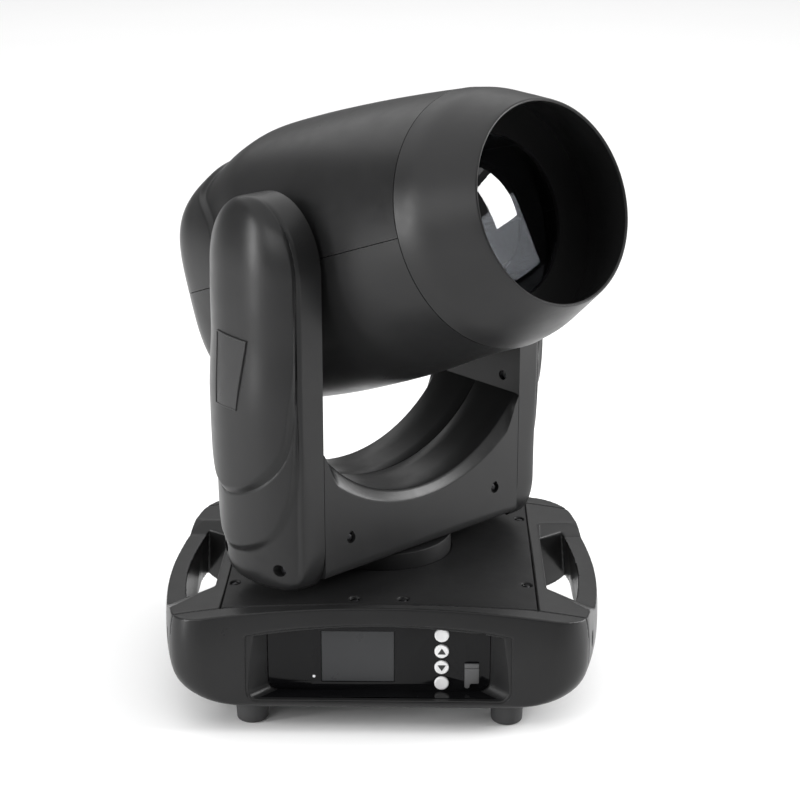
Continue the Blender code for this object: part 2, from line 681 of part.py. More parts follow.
def build_head_shells(parent):
    stations = list(HEAD_STATIONS)
    inner = [(SEAM_LENGTH + 5, *stations[0][1:])] + stations[:-2]
    inner += [(-170, 77, 71, 72, 3.0), (-178.5, 53, 53, 55, 2.7)]
    space = loft("shell_space", [head_ring(*s, SHELL_WALL) for s in inner], None, parent)
    holes = disc("trunnion_hole", TRUNNION_RADIUS + 2.5, (-130, 130), "X", None, parent)
    vent = disc("vent_hole", 40.5, (150, 200), "Y", None, parent, segments=32)
    far = 300.0
    for name, z in (("head_upper_shell", (0.15, far)), ("head_lower_shell", (-far, -0.15))):
        shell = loft(name, [head_ring(*s, 0) for s in stations], BLACK_PLASTIC, parent)
        carve(shell, space)
        keep_inside(shell, block(name + "_region", (-far, far), (-far, far), z, None, parent))
        carve(shell, holes, vent)
    grille = disc("rear_grille", 40, (179, 182.6), "Y", BLACK_METAL, parent, segments=32)
    slots = []
    for row in range(-3, 4):
        z = row * 10.0
        reach = math.sqrt(34.0**2 - z**2)
        slots.append(rectangle(-reach, reach, z - 2.6, z + 2.6))
    carve(grille, many("grille_slots", slots, "Y", (170, 190), parent))


def build_hood(parent):
    def forward(pairs):
        return [(radius, -length) for radius, length in pairs]

    seam = SEAM_LENGTH + GAP
    profile = forward(
        (
            (66, seam),
            (SEAM_RADIUS, seam),
            (SEAM_RADIUS - 0.12 * 33, seam + 17),
            (SEAM_RADIUS - 11.3, seam + 36),
            (RIM_RADIUS, RIM_LENGTH),
            (RIM_RADIUS - 2.6, RIM_LENGTH),
            (SEAM_RADIUS - 14.4, seam + 35),
            (SEAM_RADIUS - 7.2, seam + 16),
            (SEAM_RADIUS - 5, seam + 4),
            (66, seam + 4),
        )
    )
    turned("lens_hood", profile, "Y", BLACK_PLASTIC, parent, segments=44)
    profile = forward(((0, 135), (40, 136.5), (65.5, 140.5), (65.5, 144.5), (40, 151), (0, 154)))
    turned("front_lens", profile, "Y", GLASS, parent, segments=36)


def build_head_frame(parent):
    """Aluminium frame: a deck, bulkheads, side plates and the two hollow trunnions."""
    half = 92.0
    frame = block("head_frame", (-half, half), (-118, 84), (DECK_Z, DECK_Z + PLATE), ALUMINIUM, parent)
    for side in (-1, 1):
        span = sorted((side * (half - PLATE), side * half))
        fuse(frame, block(f"frame_side_{side}", span, (-30, 30), (DECK_Z + 1, 32), None, parent))
        reach = abs(TILT_PULLEY_X) + 1 if side < 0 else PLATE_X + 8
        span = sorted((side * (half - PLATE / 2), side * reach))
        fuse(frame, disc(f"trunnion_{side}", TRUNNION_RADIUS, span, "X", None, parent))
        fuse(frame, disc(f"rod_{side}", 3, (-116, -9), "Y", None, parent, (side * 52, 0, 0), 8))
    for name, y, hole in (("rear", 81, 30), ("middle", -11, 30), ("front", -118, 42)):
        plate = block(f"bulkhead_{name}", (-62, 62), (y, y + PLATE), (DECK_Z + 1, 48), None, parent)
        fuse(frame, plate)
        middle = (0, 0, 2 if hole < 40 else 4)
        carve(frame, disc(f"bulkhead_hole_{name}", hole, (y - 5, y + 8), "Y", None, parent, middle))
    carve(frame, disc("trunnion_bore", 9, (-150, 150), "X", None, parent, segments=24))
    width = (TILT_PULLEY_X, TILT_PULLEY_X + PULLEY_WIDTH)
    tube("tilt_pulley", TRUNNION_RADIUS + GAP, TILT_PULLEY_RADIUS, width, "X", ALUMINIUM, parent, segments=32)


def build_light_engine(parent):
    comb = []
    pitch = 8.0
    fins = 12
    left = -pitch * (fins - 0.5) / 2
    for i in range(fins):
        x = left + i * pitch
        comb += [(x, 86.0), (x, 148.0), (x + pitch / 2, 148.0), (x + pitch / 2, 86.0)]
    comb[0] = (left, 84.6)
    comb[-1] = (left + pitch * (fins - 0.5), 84.6)
    raised = [(x, 92.0 if y == 86.0 else y) for x, y in comb]
    prism("heatsink", raised, (-46, 46), "Z", ALUMINIUM, parent)
    profile = [(0, 84.2), (28, 84.2), (28, 79.0), (16, 79.0), (13, 74.0), (0, 74.0)]
    turned("led_module", profile, "Y", WHITE, parent, (0, 0, 2), 24)

    rings = []
    blades = 7
    for step in range(4):
        outline = []
        for i in range(blades * 4):
            turn = 2 * math.pi * i / (blades * 4) + step * 0.16
            radius = 37.0 if i % 4 in (0, 1) else 15.0
            outline.append((radius * math.cos(turn), 154 + 4.0 * step, radius * math.sin(turn)))
        rings.append(outline)
    loft("fan_rotor", rings, BLACK_PLASTIC, parent)


def build_wheels(parent):
    """Colour and gobo wheels with round openings that turn through the beam, and a prism."""
    x, z = WHEEL_OFFSET
    for name, side, y, count, radius in (("colour_wheel", 1, 38, 8, 11), ("gobo_wheel", -1, 24, 7, 12)):
        wheel = disc(name, WHEEL_RADIUS, (y, y + 1.6), "Y", ALUMINIUM, parent, (side * x, 0, z + 2), 28)
        toward = math.atan2(-z, -side * x)
        holes = []
        for i in range(count):
            turn = toward + 2 * math.pi * i / count
            across = side * x + WHEEL_PITCH * math.cos(turn)
            holes.append(circle(across, z + 2 + WHEEL_PITCH * math.sin(turn), radius, 10))
        carve(wheel, many(name + "_holes", holes, "Y", (y - 5, y + 8), parent))
    profile = [(0, -20), (23, -20), (23, -26), (16, -30), (0, -30)]
    turned("prism", profile, "Y", GLASS, parent, (0, 0, 2), 12)
    lens = disc("focus_lens", 34, (-74, -62), "Y", GLASS, parent, segments=32)
    ears = block("lens_ears", (-58, 58), (-72, -64), (-6, 6), None, parent)
    fuse(lens, ears)
    rods = [circle(-52, 0, 3.5, 8), circle(52, 0, 3.5, 8)]
    carve(lens, many("rod_holes", rods, "Y", (-90, -50), parent))


def main():
    clear_scene()
    build_base_shell()
    build_handle("left_handle", -1)
    build_handle("right_handle", 1)
    build_display()
    build_base_inside()
    build_connectors()
    build_feet()
    yoke = axis_empty("pan_axis", turn=(0, 0, PAN))
    for name, side in (("left", -1), ("right", 1)):
        build_arm(name, side, yoke)
    build_yoke_cover("yoke_front_cover", -1, yoke)
    build_yoke_cover("yoke_rear_cover", 1, yoke)
    build_yoke_plate(yoke)
    build_drives(yoke)
    build_badge(yoke)
    head = axis_empty("tilt_axis", yoke, (0, 0, TILT_AXIS_Z), (-TILT, 0, 0))
    build_head_shells(head)
    build_hood(head)
    build_head_frame(head)
    build_light_engine(head)
    build_wheels(head)
    bpy.context.view_layer.update()


main()
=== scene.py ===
"""Looks for the moving head light.

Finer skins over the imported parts, their materials, a pale studio and a camera.
"""

import math

import bmesh
import bpy
import numpy as np
from mathutils import Matrix, Vector


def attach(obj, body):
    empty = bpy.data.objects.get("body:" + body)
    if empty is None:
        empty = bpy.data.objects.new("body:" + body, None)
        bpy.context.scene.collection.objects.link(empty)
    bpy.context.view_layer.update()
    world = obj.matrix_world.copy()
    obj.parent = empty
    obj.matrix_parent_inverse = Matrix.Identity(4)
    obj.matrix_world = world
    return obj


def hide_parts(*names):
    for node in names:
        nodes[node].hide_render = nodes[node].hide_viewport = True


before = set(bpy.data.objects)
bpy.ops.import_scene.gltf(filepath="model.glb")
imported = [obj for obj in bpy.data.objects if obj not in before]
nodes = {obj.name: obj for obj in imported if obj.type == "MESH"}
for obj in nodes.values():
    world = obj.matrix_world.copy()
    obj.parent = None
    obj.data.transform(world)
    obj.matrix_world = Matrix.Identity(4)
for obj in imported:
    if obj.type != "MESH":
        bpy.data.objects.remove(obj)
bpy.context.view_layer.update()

# ---------------------------------------------------------------- frames
# Pieces are built in millimetres in one of these three frames.

PAN = math.radians(43.4)
TILT = math.radians(19.8)
TILT_AXIS_Z = 0.3562
BASE = Matrix.Identity(4)
YOKE = Matrix.Rotation(PAN, 4, "Z")
HEAD = YOKE @ Matrix.Translation((0, 0, TILT_AXIS_Z)) @ Matrix.Rotation(-TILT, 4, "X")
MM = Matrix.Scale(0.001, 4)

# ---------------------------------------------------------------- materials

GRAIN_DEPTH = 0.0002


def new_material(name):
    made = bpy.data.materials.new(name)
    made.use_nodes = True
    tree = made.node_tree
    tree.nodes.clear()
    shader = tree.nodes.new("ShaderNodeBsdfPrincipled")
    out = tree.nodes.new("ShaderNodeOutputMaterial")
    tree.links.new(shader.outputs["BSDF"], out.inputs["Surface"])
    place = tree.nodes.new("ShaderNodeTexCoord")
    return made, tree, shader, place.outputs["Object"]


def noise(tree, where, scale, detail=3.0, rough=0.5):
    node = tree.nodes.new("ShaderNodeTexNoise")
    node.inputs["Scale"].default_value = scale
    node.inputs["Detail"].default_value = detail
    node.inputs["Roughness"].default_value = rough
    tree.links.new(where, node.inputs["Vector"])
    return node.outputs["Fac"]


def spread(tree, value, low, high, to_low, to_high):
    node = tree.nodes.new("ShaderNodeMapRange")
    node.inputs["From Min"].default_value = low
    node.inputs["From Max"].default_value = high
    node.inputs["To Min"].default_value = to_low
    node.inputs["To Max"].default_value = to_high
    tree.links.new(value, node.inputs["Value"])
    return node.outputs["Result"]


def tint(tree, value, dark, light):
    node = tree.nodes.new("ShaderNodeMix")
    node.data_type = "RGBA"
    node.inputs["A"].default_value = (*dark, 1)
    node.inputs["B"].default_value = (*light, 1)
    tree.links.new(value, node.inputs["Factor"])
    return node.outputs["Result"]


def bump(tree, shader, height, strength):
    node = tree.nodes.new("ShaderNodeBump")
    node.inputs["Strength"].default_value = strength
    node.inputs["Distance"].default_value = GRAIN_DEPTH
    tree.links.new(height, node.inputs["Height"])
    tree.links.new(node.outputs["Normal"], shader.inputs["Normal"])


def finish(name, dark, light, rough, metallic=0.0, grain=900.0, relief=0.15, specular=0.5):
    """Moulded, cast or painted surface: cloudy colour, uneven gloss and a fine grain."""
    made, tree, shader, where = new_material(name)
    cloud = spread(tree, noise(tree, where, 14.0, 4.0), 0.3, 0.7, 0, 1)
    tree.links.new(tint(tree, cloud, dark, light), shader.inputs["Base Color"])
    patch = noise(tree, where, 60.0, 5.0, 0.6)
    tree.links.new(spread(tree, patch, 0.25, 0.75, rough - 0.04, rough + 0.05), shader.inputs["Roughness"])
    shader.inputs["Metallic"].default_value = metallic
    shader.inputs["Specular IOR Level"].default_value = specular
    bump(tree, shader, noise(tree, where, grain, 2.0), relief)
    return made


def brushed(name, dark, light, rough, stretch=(1, 1, 60)):
    """Metal with fine lines drawn one way."""
    made, tree, shader, where = new_material(name)
    mapping = tree.nodes.new("ShaderNodeMapping")
    mapping.inputs["Scale"].default_value = stretch
    tree.links.new(where, mapping.inputs["Vector"])
    lines = noise(tree, mapping.outputs["Vector"], 40.0, 4.0, 0.7)
    tree.links.new(tint(tree, lines, dark, light), shader.inputs["Base Color"])
    tree.links.new(spread(tree, lines, 0.3, 0.7, rough - 0.06, rough + 0.08), shader.inputs["Roughness"])
    shader.inputs["Metallic"].default_value = 1.0
    bump(tree, shader, lines, 0.1)
    return made


def clear(name, colour):
    """Optical glass with a trace of dust."""
    made, tree, shader, where = new_material(name)
    dust = noise(tree, where, 300.0, 4.0, 0.7)
    tree.links.new(spread(tree, dust, 0.55, 0.8, 0.0, 0.05), shader.inputs["Roughness"])
    shader.inputs["Base Color"].default_value = (*colour, 1)
    shader.inputs["Transmission Weight"].default_value = 1.0
    shader.inputs["IOR"].default_value = 1.52
    return made


def board(name):
    """Green circuit board with pale pads."""
    made, tree, shader, where = new_material(name)
    cells = tree.nodes.new("ShaderNodeTexVoronoi")
    cells.inputs["Scale"].default_value = 260.0
    tree.links.new(where, cells.inputs["Vector"])
    pads = spread(tree, cells.outputs["Distance"], 0.12, 0.16, 1, 0)
    tree.links.new(tint(tree, pads, (0.008, 0.07, 0.03), (0.45, 0.42, 0.34)), shader.inputs["Base Color"])
    tree.links.new(spread(tree, pads, 0, 1, 0.45, 0.3), shader.inputs["Roughness"])
    return made


PLASTIC = finish("black_plastic", (0.0125, 0.0125, 0.0128), (0.0155, 0.0155, 0.0158), 0.31, specular=0.24)
# Matte plastic for the base's top cover and the pan collar, with a darker colour and weaker reflection than
# the black plastic: painted shade under the yoke and head
SHADE_DARKENED_TOP = finish("top_plastic_painted_shade", (0.009, 0.009, 0.0093), (0.013, 0.013, 0.0133), 0.45, specular=0.16)
HOOD = finish(
    "hood_plastic", (0.0125, 0.0125, 0.0128), (0.016, 0.016, 0.0165), 0.37, relief=0.1, specular=0.28
)
METAL = finish(
    "black_metal", (0.02, 0.02, 0.021), (0.028, 0.028, 0.029), 0.42, metallic=0.3, grain=1400
)
GLOSS = finish(
    "gloss_black", (0.004, 0.004, 0.0045), (0.0055, 0.0055, 0.006), 0.1, relief=0.02, specular=0.16
)
SCREEN = finish(
    "lcd_glass", (0.04, 0.041, 0.043), (0.046, 0.047, 0.049), 0.3, relief=0.0, grain=400, specular=0.2
)
WHITE = finish("white_plastic", (0.78, 0.78, 0.78), (0.84, 0.84, 0.84), 0.35, relief=0.05)
MARK = finish("black_marking", (0.01, 0.01, 0.01), (0.016, 0.016, 0.016), 0.4, relief=0.05)
PANEL_GREY = finish("badge_plastic", (0.011, 0.011, 0.0115), (0.014, 0.014, 0.0145), 0.3, specular=0.35)
RUBBER = finish("rubber", (0.03, 0.03, 0.031), (0.042, 0.042, 0.043), 0.66, grain=700, relief=0.3)
FLAP = finish("flap_rubber", (0.075, 0.075, 0.076), (0.088, 0.088, 0.09), 0.5, grain=700, relief=0.2)
SCREW = finish("black_screw", (0.012, 0.012, 0.013), (0.03, 0.03, 0.032), 0.33, metallic=0.8, relief=0.1)
STEEL = brushed("steel", (0.33, 0.33, 0.34), (0.5, 0.5, 0.51), 0.33)
ALUMINIUM = brushed("aluminium", (0.5, 0.5, 0.52), (0.68, 0.68, 0.7), 0.38, (60, 1, 1))
BRASS = brushed("brass", (0.5, 0.33, 0.12), (0.68, 0.48, 0.2), 0.3)
BOARD = board("circuit_board")
LENS = clear("lens_glass", (0.1, 0.105, 0.115))
GLASS = clear("inner_glass", (0.9, 0.93, 0.94))
LED_DOT = finish("led_dot", (0.85, 0.86, 0.88), (0.95, 0.95, 0.96), 0.3, relief=0.0)
BLUE = finish("blue_socket", (0.01, 0.05, 0.22), (0.015, 0.065, 0.28), 0.42)
GREY = finish("grey_socket", (0.22, 0.22, 0.23), (0.27, 0.27, 0.28), 0.42)

# ---------------------------------------------------------------- mesh helpers


def piece(
    name, corners, faces, material, body, place=BASE, replaces=(), slot="black_plastic",
    sharp=38, smooth=True,
):
    """One mesh from corners in millimetres in its own frame, which rides on a CAD body if one is named."""
    mesh = bpy.data.meshes.new(name)
    mesh.from_pydata([tuple(c) for c in corners], [], [tuple(int(i) for i in f) for f in faces])
    shape = bmesh.new()
    shape.from_mesh(mesh)
    bmesh.ops.remove_doubles(shape, verts=shape.verts, dist=0.0005)
    bmesh.ops.recalc_face_normals(shape, faces=shape.faces)
    shape.to_mesh(mesh)
    shape.free()
    mesh.transform(place @ MM)
    if smooth:
        mesh.shade_smooth()
        mesh.set_sharp_from_angle(angle=math.radians(sharp))
    made = bpy.data.objects.new(name, mesh)
    bpy.context.scene.collection.objects.link(made)
    if body is not None:
        dressed(made, material, body, replaces)
    return made


def dressed(made, material, body, replaces):
    made.data.materials.clear()
    made.data.materials.append(material)
    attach(made, body)
    if replaces:
        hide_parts(*replaces)


def skin(rows, closed=True, caps=(True, True)):
    """Corners and faces over rows of equal length."""
    rows = [list(r) for r in rows]
    count = len(rows[0])
    corners = [c for r in rows for c in r]
    faces = []
    for i in range(len(rows) - 1):
        for j in range(count if closed else count - 1):
            k = (j + 1) % count
            faces.append((i * count + j, i * count + k, (i + 1) * count + k, (i + 1) * count + j))
    if caps[0]:
        faces.append(tuple(range(count)))
    if caps[1]:
        last = (len(rows) - 1) * count
        faces.append(tuple(range(last, last + count)))
    return corners, faces


def joined(*shapes):
    """Several corner and face lists as one."""
    corners = []
    faces = []
    for some_corners, some_faces in shapes:
        start = len(corners)
        corners += list(some_corners)
        faces += [tuple(i + start for i in f) for f in some_faces]
    return corners, faces


def axis_point(u, v, w, axis):
    return {"X": (w, u, v), "Y": (u, w, v), "Z": (u, v, w)}[axis]


def prism(outline, ends, axis="Y"):
    """Outline run straight along an axis between its two ends."""
    return skin([[axis_point(u, v, w, axis) for u, v in outline] for w in ends])


def box(x, y, z):
    return prism([(x[0], y[0]), (x[1], y[0]), (x[1], y[1]), (x[0], y[1])], z, "Z")


def turned(profile, axis="Z", at=(0, 0, 0), segments=96, ring=False):
    """Profile of (radius, height) turned about an axis; with ring it closes on itself."""
    rows = []
    for radius, height in profile + (profile[:1] if ring else []):
        row = []
        for i in range(segments):
            turn = 2 * math.pi * i / segments
            p = axis_point(radius * math.cos(turn), radius * math.sin(turn), height, axis)
            row.append((p[0] + at[0], p[1] + at[1], p[2] + at[2]))
        rows.append(row)
    return skin(rows, True, (not ring, not ring))


def soft_profile(points, radius):
    """Profile with its corners rounded by arcs of about the given radius."""
    out = []
    count = len(points)
    for i in range(count):
        p = Vector(points[i])
        if i in (0, count - 1):
            out.append(tuple(p))
            continue
        a = Vector(points[i - 1]) - p
        b = Vector(points[i + 1]) - p
        reach = min(radius, a.length * 0.45, b.length * 0.45)
        if reach < 0.02:
            out.append(tuple(p))
            continue
        start = p + a.normalized() * reach
        end = p + b.normalized() * reach
        for t in (0, 1 / 3, 2 / 3, 1):
            out.append(tuple(start * (1 - t) ** 2 + p * (2 * t * (1 - t)) + end * t**2))
    return out


def extruded(outline, span, lip):
    """Outline run along Y, its ends rounded by a small lip."""
    low, high = sorted(span)
    middle = np.array(outline, float)
    centre = middle.mean(0)
    size = np.abs(middle - centre).max(0)
    stages = (
        (lip, low), (lip * 0.3, low + lip * 0.3), (0, low + lip),
        (0, high - lip), (lip * 0.3, high - lip * 0.3), (lip, high),
    )
    rows = []
    for shrink, y in stages:
        ring = centre + (middle - centre) * (1 - shrink / np.maximum(size, 1e-6))
        rows.append([(u, y, v) for u, v in ring])
    return skin(rows)


def rounded_rectangle(x0, x1, y0, y1, radius, steps=5):
    corners = (
        (x1 - radius, y1 - radius, 0),
        (x0 + radius, y1 - radius, 90),
        (x0 + radius, y0 + radius, 180),
        (x1 - radius, y0 + radius, 270),
    )
    points = []
    for cx, cy, start in corners:
        for i in range(steps + 1):
            turn = math.radians(start + 90 * i / steps)
            points.append((cx + radius * math.cos(turn), cy + radius * math.sin(turn)))
    return points


def circle(x, y, radius, segments=32):
    turns = [2 * math.pi * i / segments for i in range(segments)]
    return [(x + radius * math.cos(turn), y + radius * math.sin(turn)) for turn in turns]


def ease(value):
    t = min(1.0, max(0.0, value))
    return t * t * (3 - 2 * t)


def smooth_curve(xs, ys, x):
    """Monotone cubic through the points."""
    xs = np.array(xs, float)
    ys = np.array(ys, float)
    if xs[0] > xs[-1]:
        xs, ys = xs[::-1], ys[::-1]
    step = np.diff(xs)
    slope = np.diff(ys) / step
    tangent = np.zeros(len(xs))
    tangent[0], tangent[-1] = slope[0], slope[-1]
    for i in range(1, len(xs) - 1):
        if slope[i - 1] * slope[i] > 0:
            w1 = 2 * step[i] + step[i - 1]
            w2 = step[i] + 2 * step[i - 1]
            tangent[i] = (w1 + w2) / (w1 / slope[i - 1] + w2 / slope[i])
    i = int(np.clip(np.searchsorted(xs, x) - 1, 0, len(step) - 1))
    t = (x - xs[i]) / step[i]
    h = step[i]
    value = ys[i] * (1 + 2 * t) * (1 - t) ** 2 + tangent[i] * h * t * (1 - t) ** 2
    value = value + ys[i + 1] * t * t * (3 - 2 * t) + tangent[i + 1] * h * t * t * (t - 1)
    return float(value)


def bake(made, helpers, place):
    """Makes the modifiers' result the mesh itself and drops the helpers."""
    bpy.context.view_layer.update()
    graph = bpy.context.evaluated_depsgraph_get()
    mesh = bpy.data.meshes.new_from_object(made.evaluated_get(graph))
    made.modifiers.clear()
    made.data = mesh
    for helper in helpers:
        bpy.data.objects.remove(helper)
    mesh.transform(place)
    mesh.shade_smooth()


def cut_by(made, cutters, operation):
    """Adds one Boolean for each cutter, whose helper object it returns."""
    helpers = []
    for cutter in cutters:
        helper = piece(f"{made.name}_helper", *cutter, None, None)
        helpers.append(helper)
        step = made.modifiers.new("cut", "BOOLEAN")
        step.operation = operation
        step.solver = "EXACT"
        step.object = helper
    return helpers


def shaped(name, form, region, cutters, voxel, material, replaces, smoothing):
    """Base moulding: a form kept inside a region, cutters taken out, edges softened by a fine remesh."""
    made = piece(name, *form, None, None)
    helpers = cut_by(made, [region], "INTERSECT") + cut_by(made, cutters, "DIFFERENCE")
    remesh = made.modifiers.new("remesh", "REMESH")
    remesh.mode = "VOXEL"
    remesh.voxel_size = voxel * 0.001
    remesh.use_smooth_shade = True
    relax = made.modifiers.new("relax", "SMOOTH")
    relax.factor = 0.5
    relax.iterations = smoothing
    bake(made, helpers, BASE)
    dressed(made, material, "base", replaces)


def carved(
    name, form, cutters, material, body, place=BASE, replaces=(),
    sharp=38, edge=0.0,
):
    """Form with cutters taken out, its sharp edges bevelled when a width is given."""
    made = piece(name, *form, None, None)
    helpers = cut_by(made, cutters, "DIFFERENCE")
    if edge:
        step = made.modifiers.new("edge", "BEVEL")
        step.width = edge * 0.001
        step.segments = 2
        step.limit_method = "ANGLE"
        step.angle_limit = math.radians(50)
    bake(made, helpers, place)
    made.data.set_sharp_from_angle(angle=math.radians(sharp))
    dressed(made, material, body, replaces)


# ---------------------------------------------------------------- base

CROWN = 0.000507
COVER_SEAM_Y = 119.6
HANDLE_SEAM_X = 131.2
PANEL_Y = -127.0
SIDE_BOW = 480.0
CORNER_RADIUS = 32.0
FAR = 260
TOP_SCREWS = (
    (-124, -70), (124, -70), (124, 77), (-124, 77),
    (-20, -116.5), (20, -116.5), (-20, 116.5), (20, 116.5),
)


def crown(x):
    return 87.6 - CROWN * x * x


def base_outline(half_width, half_depth):
    """Plan of the base: bowed sides, round corners, straight front and back."""
    side_x = half_width - SIDE_BOW
    reach = half_depth - CORNER_RADIUS
    corner_x = side_x + math.sqrt((SIDE_BOW - CORNER_RADIUS) ** 2 - reach**2)
    start = math.atan2(reach, corner_x - side_x)
    quarter = []
    for i in range(20):
        turn = start * i / 20
        quarter.append((side_x + SIDE_BOW * math.cos(turn), -SIDE_BOW * math.sin(turn)))
    for i in range(21):
        turn = start + (math.pi / 2 - start) * i / 20
        x = corner_x + CORNER_RADIUS * math.cos(turn)
        quarter.append((x, -reach - CORNER_RADIUS * math.sin(turn)))
    for i in range(1, 16):
        quarter.append((corner_x * (1 - i / 16), -half_depth))
    front = quarter + [(0, -half_depth)] + [(-x, y) for x, y in reversed(quarter)]
    return front + [(x, -y) for x, y in reversed(front[1:-1])]


def base_form(wall=0.0, levels=30):
    """Whole base: tucked in at the bottom, bowed at the sides and arched on top."""
    rows = []
    for i in range(levels + 1):
        level = (i / levels) ** 1.5
        tuck = max(0.0, 1 - level / 0.54) ** 2.8
        half_width = 130.0 + 59.5 * (1 - tuck) ** (1 / 2.8)
        half_width -= 2.5 * max(0.0, (level - 0.6) / 0.4) ** 2
        half_depth = 146.0 - 9.5 * level**2 - 5 * (1 - min(1.0, level / 0.08)) ** 2
        outline = base_outline(half_width - wall, half_depth - wall)
        rows.append([(x, y, wall + level * (crown(x) - 2 * wall)) for x, y in outline])
    corners, faces = skin(rows, True, (False, False))
    count = len(rows[0])
    half = count // 2
    for start in (0, (len(rows) - 1) * count):
        for i in range(half):
            across = (count - i - 1) % count
            strip = [start + i, start + i + 1, start + across, start + (across + 1) % count]
            faces.append(tuple(dict.fromkeys(strip)))
    return corners, faces


def window_outline(half_width, floor, top, corner=9.0):
    points = []
    for i in range(9):
        turn = math.pi / 2 * i / 8
        x = half_width - corner + corner * math.sin(turn)
        points.append((x, floor + corner - corner * math.cos(turn)))
    for i in range(33):
        x = half_width * (1 - i / 16)
        points.append((x, top - 10.0 * (x / 109.0) ** 2))
    return points + [(-x, z) for x, z in reversed(points[:9])]


def top_cover_outline(grow):
    edge = HANDLE_SEAM_X - 0.3 + grow
    front = []
    for i in range(33):
        x = edge * (1 - i / 16)
        front.append((x, -COVER_SEAM_Y + 1.2 - grow - 9.0 * (1 - (x / edge) ** 2)))
    return front + [(x, -y) for x, y in reversed(front)]


def handle_hole(side, z, flare):
    outer = [(172.0 + 0.2 * flare - 8.0 * (y / 74) ** 2, y) for y in np.linspace(-74, 74, 25)]
    corners = [(141.0, -58)] + outer + [(141.0, 58)]
    return [(side * x, y + math.copysign(flare, y) if abs(y) > 55 else y, z) for x, y in corners]


def slanted_recess(x, y, radius, depth):
    """Round recess for a screw in the base's arched top."""
    z = crown(x)
    mouth = radius + 1.6
    profile = [(0.01, z - depth), (radius, z - depth), (radius, z - 0.8), (mouth, z + 1.2), (0.01, z + 1.2)]
    return turned(profile, "Z", (x, y, 0), 28)


def screw_head(x, y, z, radius, axis="Z", into=1):
    """Pan-head screw with a cross on it, its face towards the end of the axis."""
    profile = [
        (0.01, 0), (radius * 0.99, 0), (radius, 0.5), (radius * 0.86, 1.3), (radius * 0.5, 1.8), (0.01, 1.9),
    ]
    shapes = [turned([(r, into * h) for r, h in profile], axis, (x, y, z), 24)]
    half = radius * 0.55
    thin = radius * 0.09
    for turn in (0, math.pi / 2):
        c = math.cos(turn)
        s = math.sin(turn)
        corners = ((half, thin), (half, -thin), (-half, -thin), (-half, thin))
        bar = [(a * c - b * s, a * s + b * c) for a, b in corners]
        rows = []
        for h in (1.75, 1.96):
            spots = [axis_point(u, v, into * h, axis) for u, v in bar]
            rows.append([(x + p[0], y + p[1], z + p[2]) for p in spots])
        shapes.append(skin(rows))
    return joined(*shapes)


def build_handle(name, side, outer):
    """Side moulding with a slanted finger hole, and an oval recess near each end."""
    xs = sorted((side * HANDLE_SEAM_X, side * FAR))
    region = box(xs, (-COVER_SEAM_Y + 0.3, COVER_SEAM_Y - 0.3), (-20, 130))
    rows = []
    for rise, at_inside, at_outside in ((0, 60, 85), (18, 84, 139)):
        plan = ((141.0, -at_inside), (200, -at_outside), (200, at_outside), (141.0, at_inside))
        rows.append([(side * x, y, crown(x) - 9.0 + rise) for x, y in plan])
    cuts = [skin(rows)]
    cuts.append(skin([handle_hole(side, -20, 44), handle_hole(side, 66, 0), handle_hole(side, 130, 0)]))
    turns = np.linspace(0, 2 * math.pi, 24, endpoint=False)
    for y in (-101.5, 101.5):
        oval = [(y + 3.8 * math.cos(turn), 45 + 7.5 * math.sin(turn)) for turn in turns]
        cuts.append(prism(oval, (side * 176.5, side * 200), "X"))
    shaped(name + "_skin", outer, region, cuts, 1.0, PLASTIC, [name], 6)


def build_base():
    inner = base_form(3.0, 16)
    outer = base_form()
    top_space = prism(top_cover_outline(0.35), (50, 130), "Z")

    window = prism(window_outline(109.0, 7.1, 73.6), (-170, -110))
    front = box((-FAR, FAR), (-FAR, -COVER_SEAM_Y), (-20, 130))
    cuts = [inner, top_space, window]
    shaped("base_front_skin", outer, front, cuts, 0.8, PLASTIC, ["base_front_cover"], 8)

    bay = box((-96, 96), (125, 170), (12, 62))
    rear = box((-FAR, FAR), (COVER_SEAM_Y, FAR), (-20, 130))
    shaped("base_rear_skin", outer, rear, [inner, top_space, bay], 1.0, PLASTIC, ["base_rear_cover"], 8)

    collar = turned([(0.01, 60), (60.3, 60), (60.3, 130), (0.01, 130)], "Z", (0, 0, 0), 72)
    recesses = joined(*[slanted_recess(x, y, 4.6, 2.6) for x, y in TOP_SCREWS])
    seam = box((-0.45, 0.45), (-140, 140), (86.9, 100))
    plan = prism(top_cover_outline(0), (60, 130), "Z")
    cuts = [inner, collar, recesses, seam]
    # the top cover takes the darkened plastic, painted shade under the yoke and head
    shaped("base_top_skin", outer, plan, cuts, 0.8, SHADE_DARKENED_TOP, ["base_top_cover"], 6)
    heads = joined(*[screw_head(x, y, crown(x) - 2.7, 3.2) for x, y in TOP_SCREWS])
    piece("base_screws", *heads, SCREW, "base", slot="black_metal")

    build_handle("left_handle", -1, outer)
    build_handle("right_handle", 1, outer)

    section = [(56, 80), (60, 80), (60, 101.6), (59.2, 102), (38, 102), (38, 100.6), (56, 100.6)]
    ring = turned(soft_profile(section, 0.5), "Z", (0, 0, 0), 96, True)
    # the collar takes the darkened top plastic, painted shade under the yoke
    piece("pan_collar_skin", *ring, SHADE_DARKENED_TOP, "base", replaces=["pan_collar"])


# ---------------------------------------------------------------- display

BUTTON_X = 52
BUTTON_HEIGHTS = {"menu_button": 59.5, "up_button": 44.9, "down_button": 30.3, "enter_button": 15.7}
ARROW_SIGNS = {"up_button": 1, "down_button": -1}


